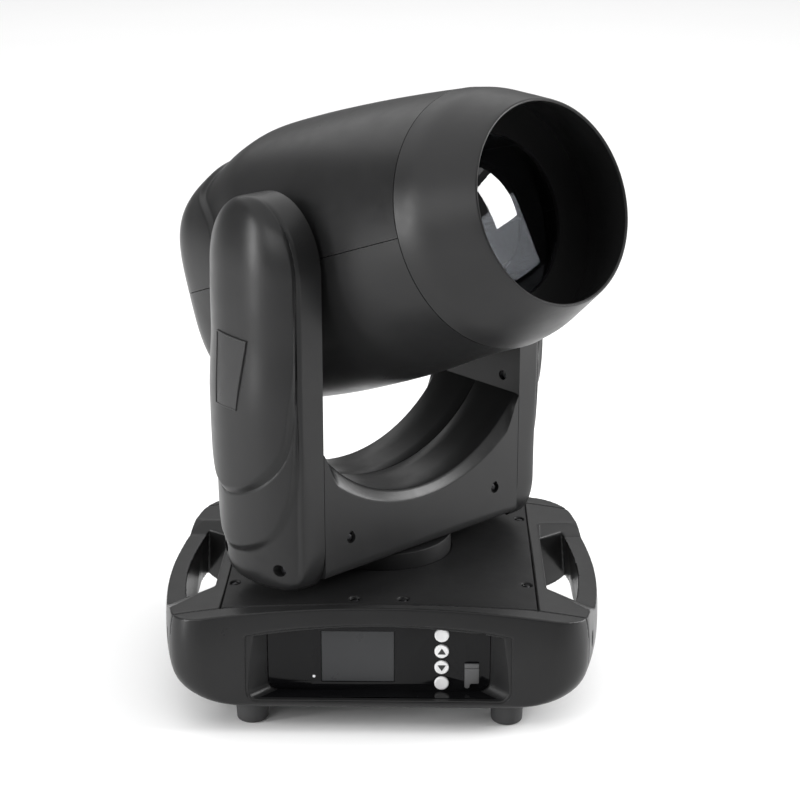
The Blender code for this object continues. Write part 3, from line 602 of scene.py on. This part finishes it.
def build_display_housing():
    mouth = window_outline(107.6, 8.5, 72.2)
    back = window_outline(92.3, 8.6, 70.6)
    form = prism(window_outline(109.9, 6.2, 74.6), (-160.0, PANEL_Y + 4.6))
    stages = ((mouth, -165.0), (mouth, -144.0), (back, PANEL_Y - 1.0), (back, PANEL_Y + 2.6))
    recess = skin([[(x, y, z) for x, z in outline] for outline, y in stages])
    window = box((-52, 88), (-150, -100), (9.0, 66.8))
    cuts = [recess, window]
    shaped("display_housing_skin", form, base_form(1.0), cuts, 0.7, PLASTIC, ["display_housing"], 2)


def build_display_panel():
    """Glossy panel with openings for the LCD, the buttons and the USB socket, and a tray at its foot."""
    rows = []
    for y, half_width in ((-141.0, 103.0), (PANEL_Y, 91.8)):
        rows.append([(x, y, z) for x, z in window_outline(half_width, 8.8, 9.6, 0.3)])
    piece("display_tray_skin", *skin(rows), GLOSS, "base", slot="gloss_black")

    through = (-150, -100)
    holes = [prism(rounded_rectangle(-47.8, 12.8, 16.2, 62.6, 0.6, 2), through)]
    holes.append(box((73.5, 80.5), through, (17, 32)))
    holes += [prism(circle(BUTTON_X, z, 6.35, 40), through) for z in BUTTON_HEIGHTS.values()]
    carved(
        "display_panel_skin", prism(window_outline(92.0, 8.9, 70.3), (PANEL_Y, PANEL_Y + 2.3)), holes,
        GLOSS, "base", replaces=["display_panel"], sharp=30, edge=0.25,
    )

    screen = rounded_rectangle(-47.5, 12.5, 16.5, 62.3, 0.5, 3)
    pane = extruded(screen, (PANEL_Y + 0.4, PANEL_Y + 6.0), 0.3)
    piece("lcd_pane", *pane, SCREEN, "base", replaces=["lcd_screen"], slot="screen", sharp=12)
    profile = [(0.01, -0.35), (0.9, -0.3), (1.25, 0), (1.25, 0.2), (0.01, 0.2)]
    dot = turned([(r, PANEL_Y + y) for r, y in profile], "Y", (-54, 0, 21), 24)
    piece("status_light", *dot, LED_DOT, "base", slot="white_plastic")


def build_buttons():
    """Round caps with a rounded rim and a stem behind them, two of them with an arrow."""
    profile = [
        (0.01, -1.15), (3.5, -1.2), (4.6, -1.4), (5.3, -1.35), (5.8, -1.0), (6.0, -0.4),
        (6.0, 2.4), (2.5, 2.5), (2.5, 7.3), (0.01, 7.3),
    ]
    y = PANEL_Y - 1.25
    for name, z in BUTTON_HEIGHTS.items():
        cap = turned([(r, PANEL_Y + h) for r, h in profile], "Y", (BUTTON_X, 0, z), 48)
        piece(name + "_cap", *cap, WHITE, name, replaces=[name], slot="white_plastic")
        if name in ARROW_SIGNS:
            foot = z - ARROW_SIGNS[name] * 2.3
            tip = z + ARROW_SIGNS[name] * 3.0
            triangle = [(BUTTON_X - 3.4, foot), (BUTTON_X + 3.4, foot), (BUTTON_X, tip)]
            arrow = prism(triangle, (y - 0.2, y + 0.2))
            piece(name + "_arrow", *arrow, MARK, name, slot="gloss_black", smooth=False)


def build_usb_cover():
    """Rubber flap with a groove under its hinge and a pull tab at one corner."""
    x0, x1, z0, z1 = 71.0, 83.0, 12.0, 34.5
    outline = [(x1, z1), (x0, z1), (x0, z0 + 1.4), (x0 + 0.8, z0 + 0.3), (x0 + 2.4, z0), (x0 + 3.8, z0 + 0.8)]
    outline += [(x0 + 4.4, z0 + 3.4), (x0 + 5.4, z0 + 4.4), (x1 - 0.5, z0 + 4.4), (x1, z0 + 4.9)]
    flap = extruded(outline, (PANEL_Y - 2.3, PANEL_Y - 0.3), 0.5)
    groove = box((x0 - 1, x1 + 1), (PANEL_Y - 3, PANEL_Y - 1.75), (z1 - 4.4, z1 - 3.6))
    carved("usb_flap_skin", flap, [groove], FLAP, "usb_cover", BASE, ["usb_cover"], 30)


# ---------------------------------------------------------------- connectors

CONNECTOR_Y = 137.0
CONNECTOR_Z = 37
POWER_X = (-71.5, -31.5)
DATA_X = (14, 46)
FUSE_X = 78


def build_connector_panel():
    y = CONNECTOR_Y
    z = CONNECTOR_Z
    through = (130, 145)
    plate = extruded(rounded_rectangle(-95.6, 95.6, 12.4, 61.6, 2.0), (y, y + 2), 0.3)
    holes = [prism(circle(x, z, 12.3, 48), through) for x in DATA_X]
    holes.append(prism(circle(FUSE_X, z, 8.3, 40), through))
    holes += [prism(rounded_rectangle(x - 13.8, x + 13.8, 22.7, 51.3, 2.2), through) for x in POWER_X]
    replaced = ["connector_panel"]
    carved("connector_panel_skin", plate, holes, METAL, "base", BASE, replaced, 30, 0.2)
    spots = [(-90, 17), (-90, 57), (90, 17), (90, 57), (-8, 17), (-8, 57)]
    heads = [screw_head(sx, y + 1.8, sz, 2.5, "Y") for sx, sz in spots]
    piece("panel_screws", *joined(*heads), SCREW, "base", slot="black_metal")


def build_power_socket(name, x, colour):
    """Twist-lock socket: a square flange, a round mouth with two keyways, a core and three contacts."""
    y = CONNECTOR_Y
    z = CONNECTOR_Z
    body = extruded(rounded_rectangle(x - 13.5, x + 13.5, 23, 51, 2.0), (y - 16, y + 4), 0.6)
    mouth = [(0.01, y - 10), (10.3, y - 10), (10.3, y + 3.2), (11.0, y + 4.4), (0.01, y + 4.4)]
    cuts = [turned(mouth, "Y", (x, 0, z), 48)]
    cuts.append(box((x - 1.6, x + 1.6), (y - 6, y + 5), (46.4, 49.2)))
    cuts.append(box((x - 1.2, x + 1.2), (y - 6, y + 5), (24.9, 27.6)))
    carved(name + "_skin", body, cuts, colour, "base", BASE, [name], sharp=30)
    core = [(3.6, y - 10.2), (7.2, y - 10.2), (7.2, y + 1.6), (6.7, y + 2.1), (4.1, y + 2.1), (3.6, y + 1.6)]
    piece(name + "_core", *turned(core, "Y", (x, 0, z), 40, True), PLASTIC, "base")
    contacts = []
    for turn in (90, 210, 330):
        cx = x + 8.6 * math.cos(math.radians(turn))
        cz = z + 8.6 * math.sin(math.radians(turn))
        outline = rounded_rectangle(cx - 0.7, cx + 0.7, cz - 0.9, cz + 0.9, 0.3, 2)
        contacts.append(extruded(outline, (y - 10.2, y - 1.5), 0.2))
    piece(name + "_contacts", *joined(*contacts), BRASS, "base", slot="brass")
    heads = [screw_head(x + sx, y + 3.7, z + sz, 1.3, "Y") for sx, sz in ((-11.3, 11.8), (11.3, -11.8))]
    piece(name + "_screws", *joined(*heads), SCREW, "base", slot="black_metal")


def build_data_socket(name, x, pins):
    """Round three-pole socket, with pins or with bores and a latch."""
    y = CONNECTOR_Y
    z = CONNECTOR_Z
    rim = [
        (0.01, y - 8), (0.01, y - 14), (12, y - 14), (12, y + 3.4),
        (11.4, y + 4), (9.6, y + 4), (9, y + 3.4), (9, y - 8),
    ]
    shell = turned(rim, "Y", (x, 0, z), 56)
    piece(name + "_skin", *shell, METAL, "base", replaces=[name], slot="black_metal", sharp=30)
    turns = [math.radians(turn) for turn in (30, 150, 270)]
    poles = [(x + 4.4 * math.cos(turn), z + 4.4 * math.sin(turn)) for turn in turns]
    if pins:
        pin = [(0.01, y - 8.2), (1.15, y - 8.2), (1.15, y + 0.6), (0.6, y + 1.4), (0.01, y + 1.5)]
        rods = [turned(pin, "Y", (px, 0, pz), 20) for px, pz in poles]
        piece(name + "_pins", *joined(*rods), BRASS, "base", slot="brass")
        return
    profile = [(0.01, y - 8.2), (7.6, y - 8.2), (7.6, y + 1.8), (7.1, y + 2.3), (0.01, y + 2.3)]
    core = turned(profile, "Y", (x, 0, z), 48)
    bore = [(0.01, y - 4), (1.5, y - 4), (1.5, y + 4), (0.01, y + 4)]
    bores = [turned(bore, "Y", (px, 0, pz), 20) for px, pz in poles]
    carved(name + "_core", core, bores, MARK, "base", sharp=30)
    latch = extruded(rounded_rectangle(x - 2.6, x + 2.6, 45.2, 48.4, 0.8, 3), (y - 6, y + 4.9), 0.4)
    piece(name + "_latch", *latch, STEEL, "base", slot="steel")


def build_fuse_holder():
    """Screw-in cap with a slot for a coin."""
    y = CONNECTOR_Y
    profile = [
        (0.01, y - 14), (8, y - 14), (8, y + 2.3), (7.4, y + 2.9),
        (6.6, y + 3.2), (6.3, y + 4.6), (5.9, y + 5), (0.01, y + 5),
    ]
    cap = turned(profile, "Y", (FUSE_X, 0, CONNECTOR_Z), 48)
    slot = box((73.2, 82.8), (y + 4.1, y + 6), (36.4, 37.6))
    carved("fuse_holder_skin", cap, [slot], PLASTIC, "base", BASE, ["fuse_holder"], sharp=30)


def build_feet():
    section = [(0.01, -19.5), (4.5, -19.5), (5.2, -22), (12, -22), (13.2, -20.6), (14, -0.3), (0.01, -0.3)]
    profile = soft_profile(section, 0.9)
    for end, y in (("front", -117), ("rear", 117)):
        for side, x in (("left", -107), ("right", 107)):
            name = f"{end}_{side}_foot"
            foot = turned(profile, "Z", (x, y, 0), 56)
            piece(name + "_skin", *foot, RUBBER, "base", replaces=[name], slot="rubber")


# ---------------------------------------------------------------- yoke

ARM_INNER = 112.5
ARM_RIDGE = 137.5
ARM_BULGE = 19.0
ARM_HALF_DEPTH = 55.0
ARM_ROUNDNESS = 2.5
SADDLE_RADIUS = 138.0
SADDLE_CENTRE_Z = 295.0
YOKE_SCREWS_X = (-84.1, 84.1)
YOKE_SCREWS_Z = 133.3
# Lower edges of the two raised tongues on an arm, as (y, z) from the arm's front to its rear.
PAD_EDGE = (
    (-54.6, 372), (-54.2, 300), (-53, 265), (-51, 240), (-47, 218), (-40, 204), (-30, 193), (-15, 182.5),
    (2, 175.5), (20, 172), (32, 176), (42, 187), (48, 204), (52, 232), (54, 275), (54.6, 372),
)
SKIRT_EDGE = (
    (-54.8, 300), (-54, 235), (-52.5, 198), (-50, 178), (-45, 161), (-38, 147), (-28, 137), (-14, 129.5),
    (2, 124), (20, 121), (34, 127), (44, 142), (50, 168), (53, 205), (54.8, 300),
)
ACROSS = np.linspace(-54.5, 54.5, 437)


def edge_table(edge):
    heights = np.array([smooth_curve([p[0] for p in edge], [p[1] for p in edge], y) for y in ACROSS])
    return heights, np.sqrt(1 + np.minimum(np.gradient(heights, ACROSS) ** 2, 900.0))


PAD_TABLE = edge_table(PAD_EDGE)
SKIRT_TABLE = edge_table(SKIRT_EDGE)


def edge_distance(table, across, z):
    """How far spots lie inside a raised tongue's edge, in millimetres."""
    heights, steepness = table
    return (z - np.interp(across, ACROSS, heights)) / np.interp(across, ACROSS, steepness)


def soft_step(value):
    t = np.clip(value, 0.0, 1.0)
    return t * t * (3 - 2 * t)


def arm_row(side, z):
    """Plan of an arm at one height, with the raised pad and the broader skirt under it."""
    half_depth = ARM_HALF_DEPTH
    ridge = ARM_RIDGE
    bulge = ARM_BULGE
    cap = 1.0
    # rounded top and tucked-in foot
    if z > 360:
        cap = math.sqrt(max(0.0, 1 - ((z - 360) / 60) ** 2))
        half_depth *= cap
        bulge *= cap
    if z < 132:
        fall = 1 - math.sqrt(max(0.0, 1 - ((132 - z) / 38) ** 2))
        half_depth -= 18 * fall
        ridge -= 6 * fall
        bulge -= 7 * fall
    sine = np.sin(np.linspace(-math.pi / 2, math.pi / 2, 241))
    outside = ridge + bulge * (1 - np.abs(sine) ** ARM_ROUNDNESS)
    xs = np.concatenate([[ARM_INNER], outside, [ARM_INNER]])
    ys = np.concatenate([[-half_depth], half_depth * sine, [half_depth]])
    run = np.concatenate([[0.0], np.cumsum(np.hypot(np.diff(xs), np.diff(ys)) + 1e-6)])
    even = np.linspace(0, run[-1], 260)
    x = np.interp(even, run, xs)
    y = np.interp(even, run, ys)
    # softer corners low on the arm
    step = even[1]
    width = 0.7 + 6.5 * (1 - ease((z - 150) / 110))
    reach = int(math.ceil(3 * width / step))
    weights = np.exp(-0.5 * (np.arange(-reach, reach + 1) * step / width) ** 2)
    weights /= weights.sum()
    x = np.convolve(np.pad(x, reach, "reflect", reflect_type="odd"), weights, "valid")
    y = np.convolve(np.pad(y, reach, "reflect", reflect_type="odd"), weights, "valid")
    along = np.hypot(np.gradient(x), np.gradient(y)) + 1e-9
    normal_x = np.gradient(y) / along
    normal_y = -np.gradient(x) / along
    # the tongues stand out along the normal, with a fine line round the pad
    low_part = 1 - ease((z - 250) / 60)
    fading = 1 - ease((z - 330) / 40)
    across = np.clip(y / max(half_depth, 1.0) * ARM_HALF_DEPTH, -54.4, 54.4)
    on_face = soft_step((x - ridge + 4.0) / 5.0)
    pad = edge_distance(PAD_TABLE, across, min(z, 352.0))
    skirt = edge_distance(SKIRT_TABLE, across, min(z, 280.0))
    lip = 3.0 + 4.5 * low_part
    push = soft_step(pad / lip * 0.92 + 0.08) * (1.0 + 2.9 * low_part) * (0.25 + 0.75 * fading)
    push -= 0.7 * fading * np.exp(-((pad / 0.8) ** 2))
    push -= 3.4 * (1 - soft_step((skirt + 1.0) / 7.5)) * ease((z - 98) / 24)
    push *= on_face * cap
    x = x + push * normal_x
    y = y + push * normal_y
    points = [Vector((px, py, z)) for px, py in zip(x, y)]
    points += [Vector((ARM_INNER, half_depth * t, z)) for t in np.linspace(1, -1, 9)[1:-1]]
    return [(side * p.x, p.y, p.z) for p in points]


def build_arm(name, side):
    foot = [96 + 36 * (1 - math.cos(math.pi / 2 * i / 24)) for i in range(25)]
    middle = list(np.linspace(133, 358, 200))
    top = [360 + 60 * math.sin(math.pi / 2 * i / 34) for i in range(34)]
    rows = [arm_row(side, z) for z in foot + middle + top + [419.97]]

    def drilled(y, z, radius, bottom, mouth):
        low_end, high_end = sorted((side * bottom, side * mouth))
        profile = [(0.01, low_end), (radius, low_end), (radius, high_end), (0.01, high_end)]
        return turned(profile, "X", (0, y, z), 32)

    cutters = [
        drilled(-35.4, 115.4, 5.2, 139.5, 175.0),
        drilled(35.4, 115.4, 5.2, 139.5, 175.0),
        drilled(-34.0, 227.2, 4.4, 105.0, 118.5),
        drilled(0.0, 356.2, 32.0, 100.0, 121.0),
    ]
    replaced = [name + "_arm_cover", name + "_arm_panel"]
    carved(name + "_arm_skin", skin(rows), cutters, PLASTIC, "yoke", YOKE, replaced, sharp=32)
    heads = [screw_head(side * 139.3, y, 115.4, 3.9, "X", side) for y in (-35.4, 35.4)]
    heads.append(screw_head(side * 118.6, -34.0, 227.2, 3.4, "X", -side))
    piece(name + "_arm_screws", *joined(*heads), SCREW, "yoke", YOKE, slot="black_metal")


def saddle(x):
    return SADDLE_CENTRE_Z - math.sqrt(SADDLE_RADIUS**2 - x * x)


def yoke_middle_row(x, side):
    """Section across the yoke's middle, flat under the saddle and with a soft band along its edge."""
    z = saddle(x)
    slope = math.atan2(x, math.sqrt(SADDLE_RADIUS**2 - x * x))
    band = (8.5 + 5.0 * math.sin(slope) ** 2) * ease((112.0 - abs(x)) / 16.0) + 1.0
    band /= max(0.4, math.cos(slope))
    profile = [
        (0.2, 104.4), (0.2, 103.3), (25, 103.3), (51.0, 103.3), (53.6, 104.2), (55, 106.6),
        (55.0, 112), (55.0, 0.5 * (112 + z - band)), (55.0, z - band - 2),
    ]
    for t in (0.0, 0.08, 0.16, 0.26, 0.4, 0.6, 0.8, 0.96):
        profile.append((55.0 - 5.6 * max(0.0, t - 0.1 * (1 - t)) ** 1.15, z - band + band * t))
    profile += [(49.1, z - 0.15), (48.7, z), (30, z), (12, z), (0.9, z), (0.35, z - 0.4), (0.2, z - 1.4)]
    return [(x, side * y, w) for y, w in profile]


def build_yoke_middle():
    """Two mouldings that meet in the middle of the saddle."""
    z = YOKE_SCREWS_Z
    for name, side in (("yoke_front", -1), ("yoke_rear", 1)):
        form = skin([yoke_middle_row(x, side) for x in np.linspace(-112.0, 112.0, 113)])
        cutters = []
        for x in YOKE_SCREWS_X:
            if side < 0:
                cutters.append(prism(circle(x, z, 4.6), (-60, -51.5)))
                slot = rounded_rectangle(x - 2.6, x + 2.6, 131.0, 139.6, 2.2, 4)
                cutters.append(prism(slot, (-60, -53.4)))
            else:
                cutters.append(prism(circle(x, z, 4.6), (51.5, 60)))
        cutters.append(turned([(0.01, 95), (32, 95), (32, 108), (0.01, 108)], "Z", (0, 0, 0), 64))
        carved(name + "_skin", form, cutters, PLASTIC, "yoke", YOKE, [name + "_cover"])
    heads = [screw_head(x, -51.4, z, 3.4, "Y", -1) for x in YOKE_SCREWS_X]
    heads += [screw_head(x, 51.4, z, 3.4, "Y", 1) for x in YOKE_SCREWS_X]
    piece("yoke_screws", *joined(*heads), SCREW, "yoke", YOKE, slot="black_metal")


def arm_face(y):
    return ARM_RIDGE + ARM_BULGE * (1 - abs(y / ARM_HALF_DEPTH) ** ARM_ROUNDNESS)


def build_badge():
    """Blank plate with a thin raised frame."""
    corners = [Vector(spot) for spot in ((-4, 249), (26, 248), (24, 310), (-16, 309))]
    centre = Vector((8, 279))
    rows = []
    for inset, lift in ((0, 0.0), (0, 2.2), (0.3, 2.6), (1.1, 2.6), (1.5, 2.0), (14.0, 2.0)):
        ring = []
        for i in range(4):
            for share in np.linspace(0, 1, 8, endpoint=False):
                p = corners[i].lerp(corners[(i + 1) % 4], float(share))
                q = p + (centre - p) * min(0.97, inset / (p - centre).length)
                swell = 0.9 + 2.3 * (1 - ease((q.y - 262) / 50))
                ring.append((-(arm_face(q.x) + swell + lift - 1.0), q.x, q.y))
        rows.append(ring)
    piece("left_badge_skin", *skin(rows), PANEL_GREY, "yoke", YOKE, ["left_badge"], slot="gloss_black")


# ---------------------------------------------------------------- head

# Along the beam: place, half width, height above and depth below the axis, squareness of the section.
HEAD_STATIONS = (
    (141.0, 103.0, 103.0, 103.0, 2.0),
    (117.0, 104.6, 106.3, 104.0, 2.02),
    (92.0, 106.0, 109.5, 105.5, 2.05),
    (56.0, 107.4, 113.6, 109.5, 2.1),
    (20.0, 108.0, 117.0, 113.0, 2.15),
    (-20.0, 108.0, 120.0, 115.0, 2.2),
    (-60.0, 107.4, 121.6, 116.0, 2.3),
    (-95.0, 105.6, 117.0, 115.0, 2.55),
    (-122.0, 102.8, 107.0, 111.0, 2.9),
    (-145.0, 98.5, 96.0, 102.0, 3.3),
    (-162.0, 90.0, 84.5, 88.0, 3.5),
    (-173.0, 79.0, 72.0, 72.0, 3.3),
    (-183.0, 50.0, 50.0, 52.0, 2.7),
)


def head_value(column, length):
    return smooth_curve([s[0] for s in HEAD_STATIONS], [s[column] for s in HEAD_STATIONS], length)


def head_point(length, turn):
    half_width, top, bottom, square = (head_value(column, length) for column in (1, 2, 3, 4))
    c = math.cos(turn)
    s = math.sin(turn)
    x = half_width * math.copysign(abs(c) ** (2 / square), c)
    z = (top if s > 0 else bottom) * math.copysign(abs(s) ** (2 / square), s)
    # a shallow scoop on each side, ending in a crease where the tail begins
    up = math.degrees(math.asin(min(1.0, abs(s))))
    crease = -90.7 - 28.0 * ease((up - 15.0) / 30)
    ahead = length - crease
    if s > 0 and ahead > -2.5:
        depth = 4.2 * ease((ahead + 2.5) / 5) * (1 - ease(ahead / 52)) * ease((up - 10) / 16)
        depth *= 1 - 0.8 * ease((up - 54) / 30)
        x -= math.copysign(depth * abs(c), c)
        z -= depth * s
    return x, -length, z


def opening_ring(count, radius, y, sign):
    """Half circle round the grille's opening, its ends repeated to match the shell's rows."""
    ring = []
    for j in range(count):
        turn = min(math.pi, max(0.0, math.pi * (j - 2) / (count - 5)))
        ring.append((radius * math.cos(turn), y, sign * max(0.02, radius * abs(math.sin(turn)))))
    return ring


def build_head():
    """Upper and lower shell, which meet in a fine groove at mid height."""
    lengths = [*np.linspace(141.0, -60, 46), *np.linspace(-62, -150, 70), *np.linspace(-152, -182.9, 20)]
    turns = np.linspace(0, math.pi, 109)
    for name, sign in (("upper", 1), ("lower", -1)):
        rows = []
        for length in lengths:
            row = [head_point(length, sign * turn) for turn in turns]
            row[0] = (row[0][0], row[0][1], sign * 0.3)
            row[-1] = (row[-1][0], row[-1][1], sign * 0.3)
            groove = [(x * 0.985, y, sign * 0.02) for x, y, z in (row[0], row[-1])]
            inner = [(x * 0.97, y, z) for x, y, z in groove]
            rows.append([inner[0], groove[0]] + row + [groove[1], inner[1]])
        front = [(x * 0.985, y - 0.1, z * 0.985) for x, y, z in rows[0]]
        turned_in = [(x * 0.955, y + 1.5, z * 0.955) for x, y, z in rows[0]]
        count = len(rows[0])
        stages = ((42.5, 183.3), (41.2, 183.2), (40.6, 182.2), (40.6, 178.0))
        opening = [opening_ring(count, radius, y, sign) for radius, y in stages]
        shell = skin([turned_in, front] + rows + opening, False, (False, False))
        piece(f"head_{name}_skin", *shell, PLASTIC, "head", HEAD, [f"head_{name}_shell"], sharp=50)


def build_grille():
    """Round grille with seven slots, which hides the fan."""
    profile = soft_profile([(0.01, 182.6), (39.5, 182.6), (40, 182.1), (40, 179), (0.01, 179)], 0.3)
    plate = turned(profile, "Y", (0, 0, 0), 72)
    slots = []
    for row in range(-3, 4):
        z = row * 10.0
        reach = math.sqrt(34.0**2 - z**2)
        slots.append(prism(rounded_rectangle(-reach, reach, z - 2.6, z + 2.6, 2.5, 4), (170, 190)))
    replaced = ["rear_grille"]
    carved("rear_grille_skin", plate, [joined(*slots)], METAL, "head", HEAD, replaced, 35)


def along_beam(profile, segments, ring=False):
    """Profile of (radius, length) turned about the beam, which points along -Y."""
    return turned([(r, -length) for r, length in profile], "Y", (0, 0, 0), segments, ring)


def build_hood():
    profile = [(66, 141.3), (102.4, 141.3), (103, 141.9)]
    for length in np.linspace(146, 204.6, 16):
        radius = smooth_curve([141.3, 158.3, 177.3, 207.3], [103.0, 99.1, 91.8, 79.4], length)
        profile.append((radius, length))
    profile += [(79.75, 206.2), (79.3, 207.1), (78.5, 207.5), (77.6, 207.2), (77.1, 206.4)]
    for length in np.linspace(203, 150, 14):
        radius = smooth_curve([145.3, 157.3, 176.3, 207.3], [98.0, 95.8, 88.6, 76.4], length)
        profile.append((radius, length))
    profile += [(98.0, 145.3), (66, 145.3)]
    hood = along_beam(profile, 144, True)
    piece("lens_hood_skin", *hood, HOOD, "head", HEAD, ["lens_hood"], sharp=45)


def build_lens():
    """Front lens: a flat back and a bulging front."""
    bulge = 190.0
    front = []
    for r in np.linspace(0.01, 65.3, 22):
        front.append((float(r), 154.0 - bulge + math.sqrt(bulge**2 - r * r)))
    back = [(float(r), 138.5) for r in np.linspace(10, 65.3, 8)]
    lens = along_beam([(0.01, 138.5)] + back + [(65.5, 138.9)] + front[::-1], 96)
    piece("front_lens_skin", *lens, LENS, "head", HEAD, ["front_lens"], slot="glass", sharp=30)


# ---------------------------------------------------------------- finishing the carried-over parts


def dress():
    looks = {
        "base_plate": METAL,
        "control_board": BOARD,
        "pan_shaft": STEEL,
        "pan_fixed_pulley": ALUMINIUM,
        "power_supply": ALUMINIUM,
        "left_tilt_bearing": STEEL,
        "right_tilt_bearing": STEEL,
        "yoke_bracket": STEEL,
        "pan_bearing": STEEL,
        "pan_motor": METAL,
        "tilt_motor": METAL,
        "pan_drive_pulley": BRASS,
        "tilt_drive_pulley": BRASS,
        "pan_belt": RUBBER,
        "tilt_belt": RUBBER,
        "head_frame": METAL,
        "tilt_pulley": ALUMINIUM,
        "heatsink": ALUMINIUM,
        "led_module": WHITE,
        "fan_rotor": PLASTIC,
        "colour_wheel": ALUMINIUM,
        "gobo_wheel": ALUMINIUM,
        "prism": GLASS,
        "focus_lens": GLASS,
    }
    for name, look in looks.items():
        mesh = nodes[name].data
        mesh.materials.clear()
        mesh.materials.append(look)


# ---------------------------------------------------------------- studio

FLOOR_Z = -22.2


def build_floor():
    made, tree, shader, where = new_material("paper")
    shade = tint(tree, noise(tree, where, 2.0), (0.93, 0.93, 0.93), (0.95, 0.95, 0.95))
    tree.links.new(shade, shader.inputs["Base Color"])
    shader.inputs["Roughness"].default_value = 0.9
    steps = np.linspace(-20000, 20000, 9)
    corners, faces = skin([[(x, y, FLOOR_Z) for y in steps] for x in steps], False, (False, False))
    floor = piece("studio_floor", corners, faces, None, None)
    floor.data.materials.append(made)


def build_lights():
    world = bpy.data.worlds.new("studio")
    world.use_nodes = True
    world.node_tree.nodes["Background"].inputs["Color"].default_value = (1, 1, 1, 1)
    world.node_tree.nodes["Background"].inputs["Strength"].default_value = 0.24
    bpy.context.scene.world = world
    bpy.context.scene.view_settings.view_transform = "Standard"

    for name, at, look_at, size, power in (
        ("overhead", (0, 2.5, 3.4), (0, 2.5, 0), (9.0, 11.0), 370),
        ("right_box", (2.13, -0.06, 1.24), (0.13, -0.13, 0.42), (0.85, 0.75), 42),
        ("right_low", (1.85, 0.42, 0.24), (0, -0.1, 0.2), (0.5, 0.4), 12),
        ("left_strip", (-1.8, -0.72, 0.58), (-0.1, -0.1, 0.3), (0.25, 1.1), 20),
        ("front_left", (-1.5, -2.0, 1.3), (0, 0, 0.25), (1.0, 1.0), 14),
    ):
        lamp = bpy.data.lights.new(name, "AREA")
        lamp.shape = "RECTANGLE"
        lamp.size, lamp.size_y = size
        lamp.energy = power
        made = bpy.data.objects.new(name, lamp)
        bpy.context.scene.collection.objects.link(made)
        made.location = at
        made.rotation_euler = (Vector(look_at) - Vector(at)).to_track_quat("-Z", "Y").to_euler()


def build_camera():
    elevation = math.radians(18.634)
    azimuth = math.radians(1.0657)
    level = math.cos(elevation)
    back = Vector((math.sin(azimuth) * level, -math.cos(azimuth) * level, math.sin(elevation)))
    target = Vector((0.01511, 0, 0.22099))
    distance = 1.5698
    lens = bpy.data.cameras.new("camera")
    lens.sensor_width = 36
    lens.lens = 81.96
    lens.clip_start = 0.01
    made = bpy.data.objects.new("camera", lens)
    bpy.context.scene.collection.objects.link(made)
    made.location = target + back * distance
    made.rotation_euler = (-back).to_track_quat("-Z", "Y").to_euler()
    bpy.context.scene.camera = made


build_base()
build_display_housing()
build_display_panel()
build_buttons()
build_usb_cover()
build_connector_panel()
build_power_socket("power_inlet", POWER_X[0], BLUE)
build_power_socket("power_outlet", POWER_X[1], GREY)
build_data_socket("data_inlet", DATA_X[0], True)
build_data_socket("data_outlet", DATA_X[1], False)
build_fuse_holder()
build_feet()
build_arm("left", -1)
build_arm("right", 1)
build_yoke_middle()
build_badge()
build_head()
build_grille()
build_hood()
build_lens()
dress()
build_floor()
build_lights()
build_camera()

bpy.context.view_layer.update()
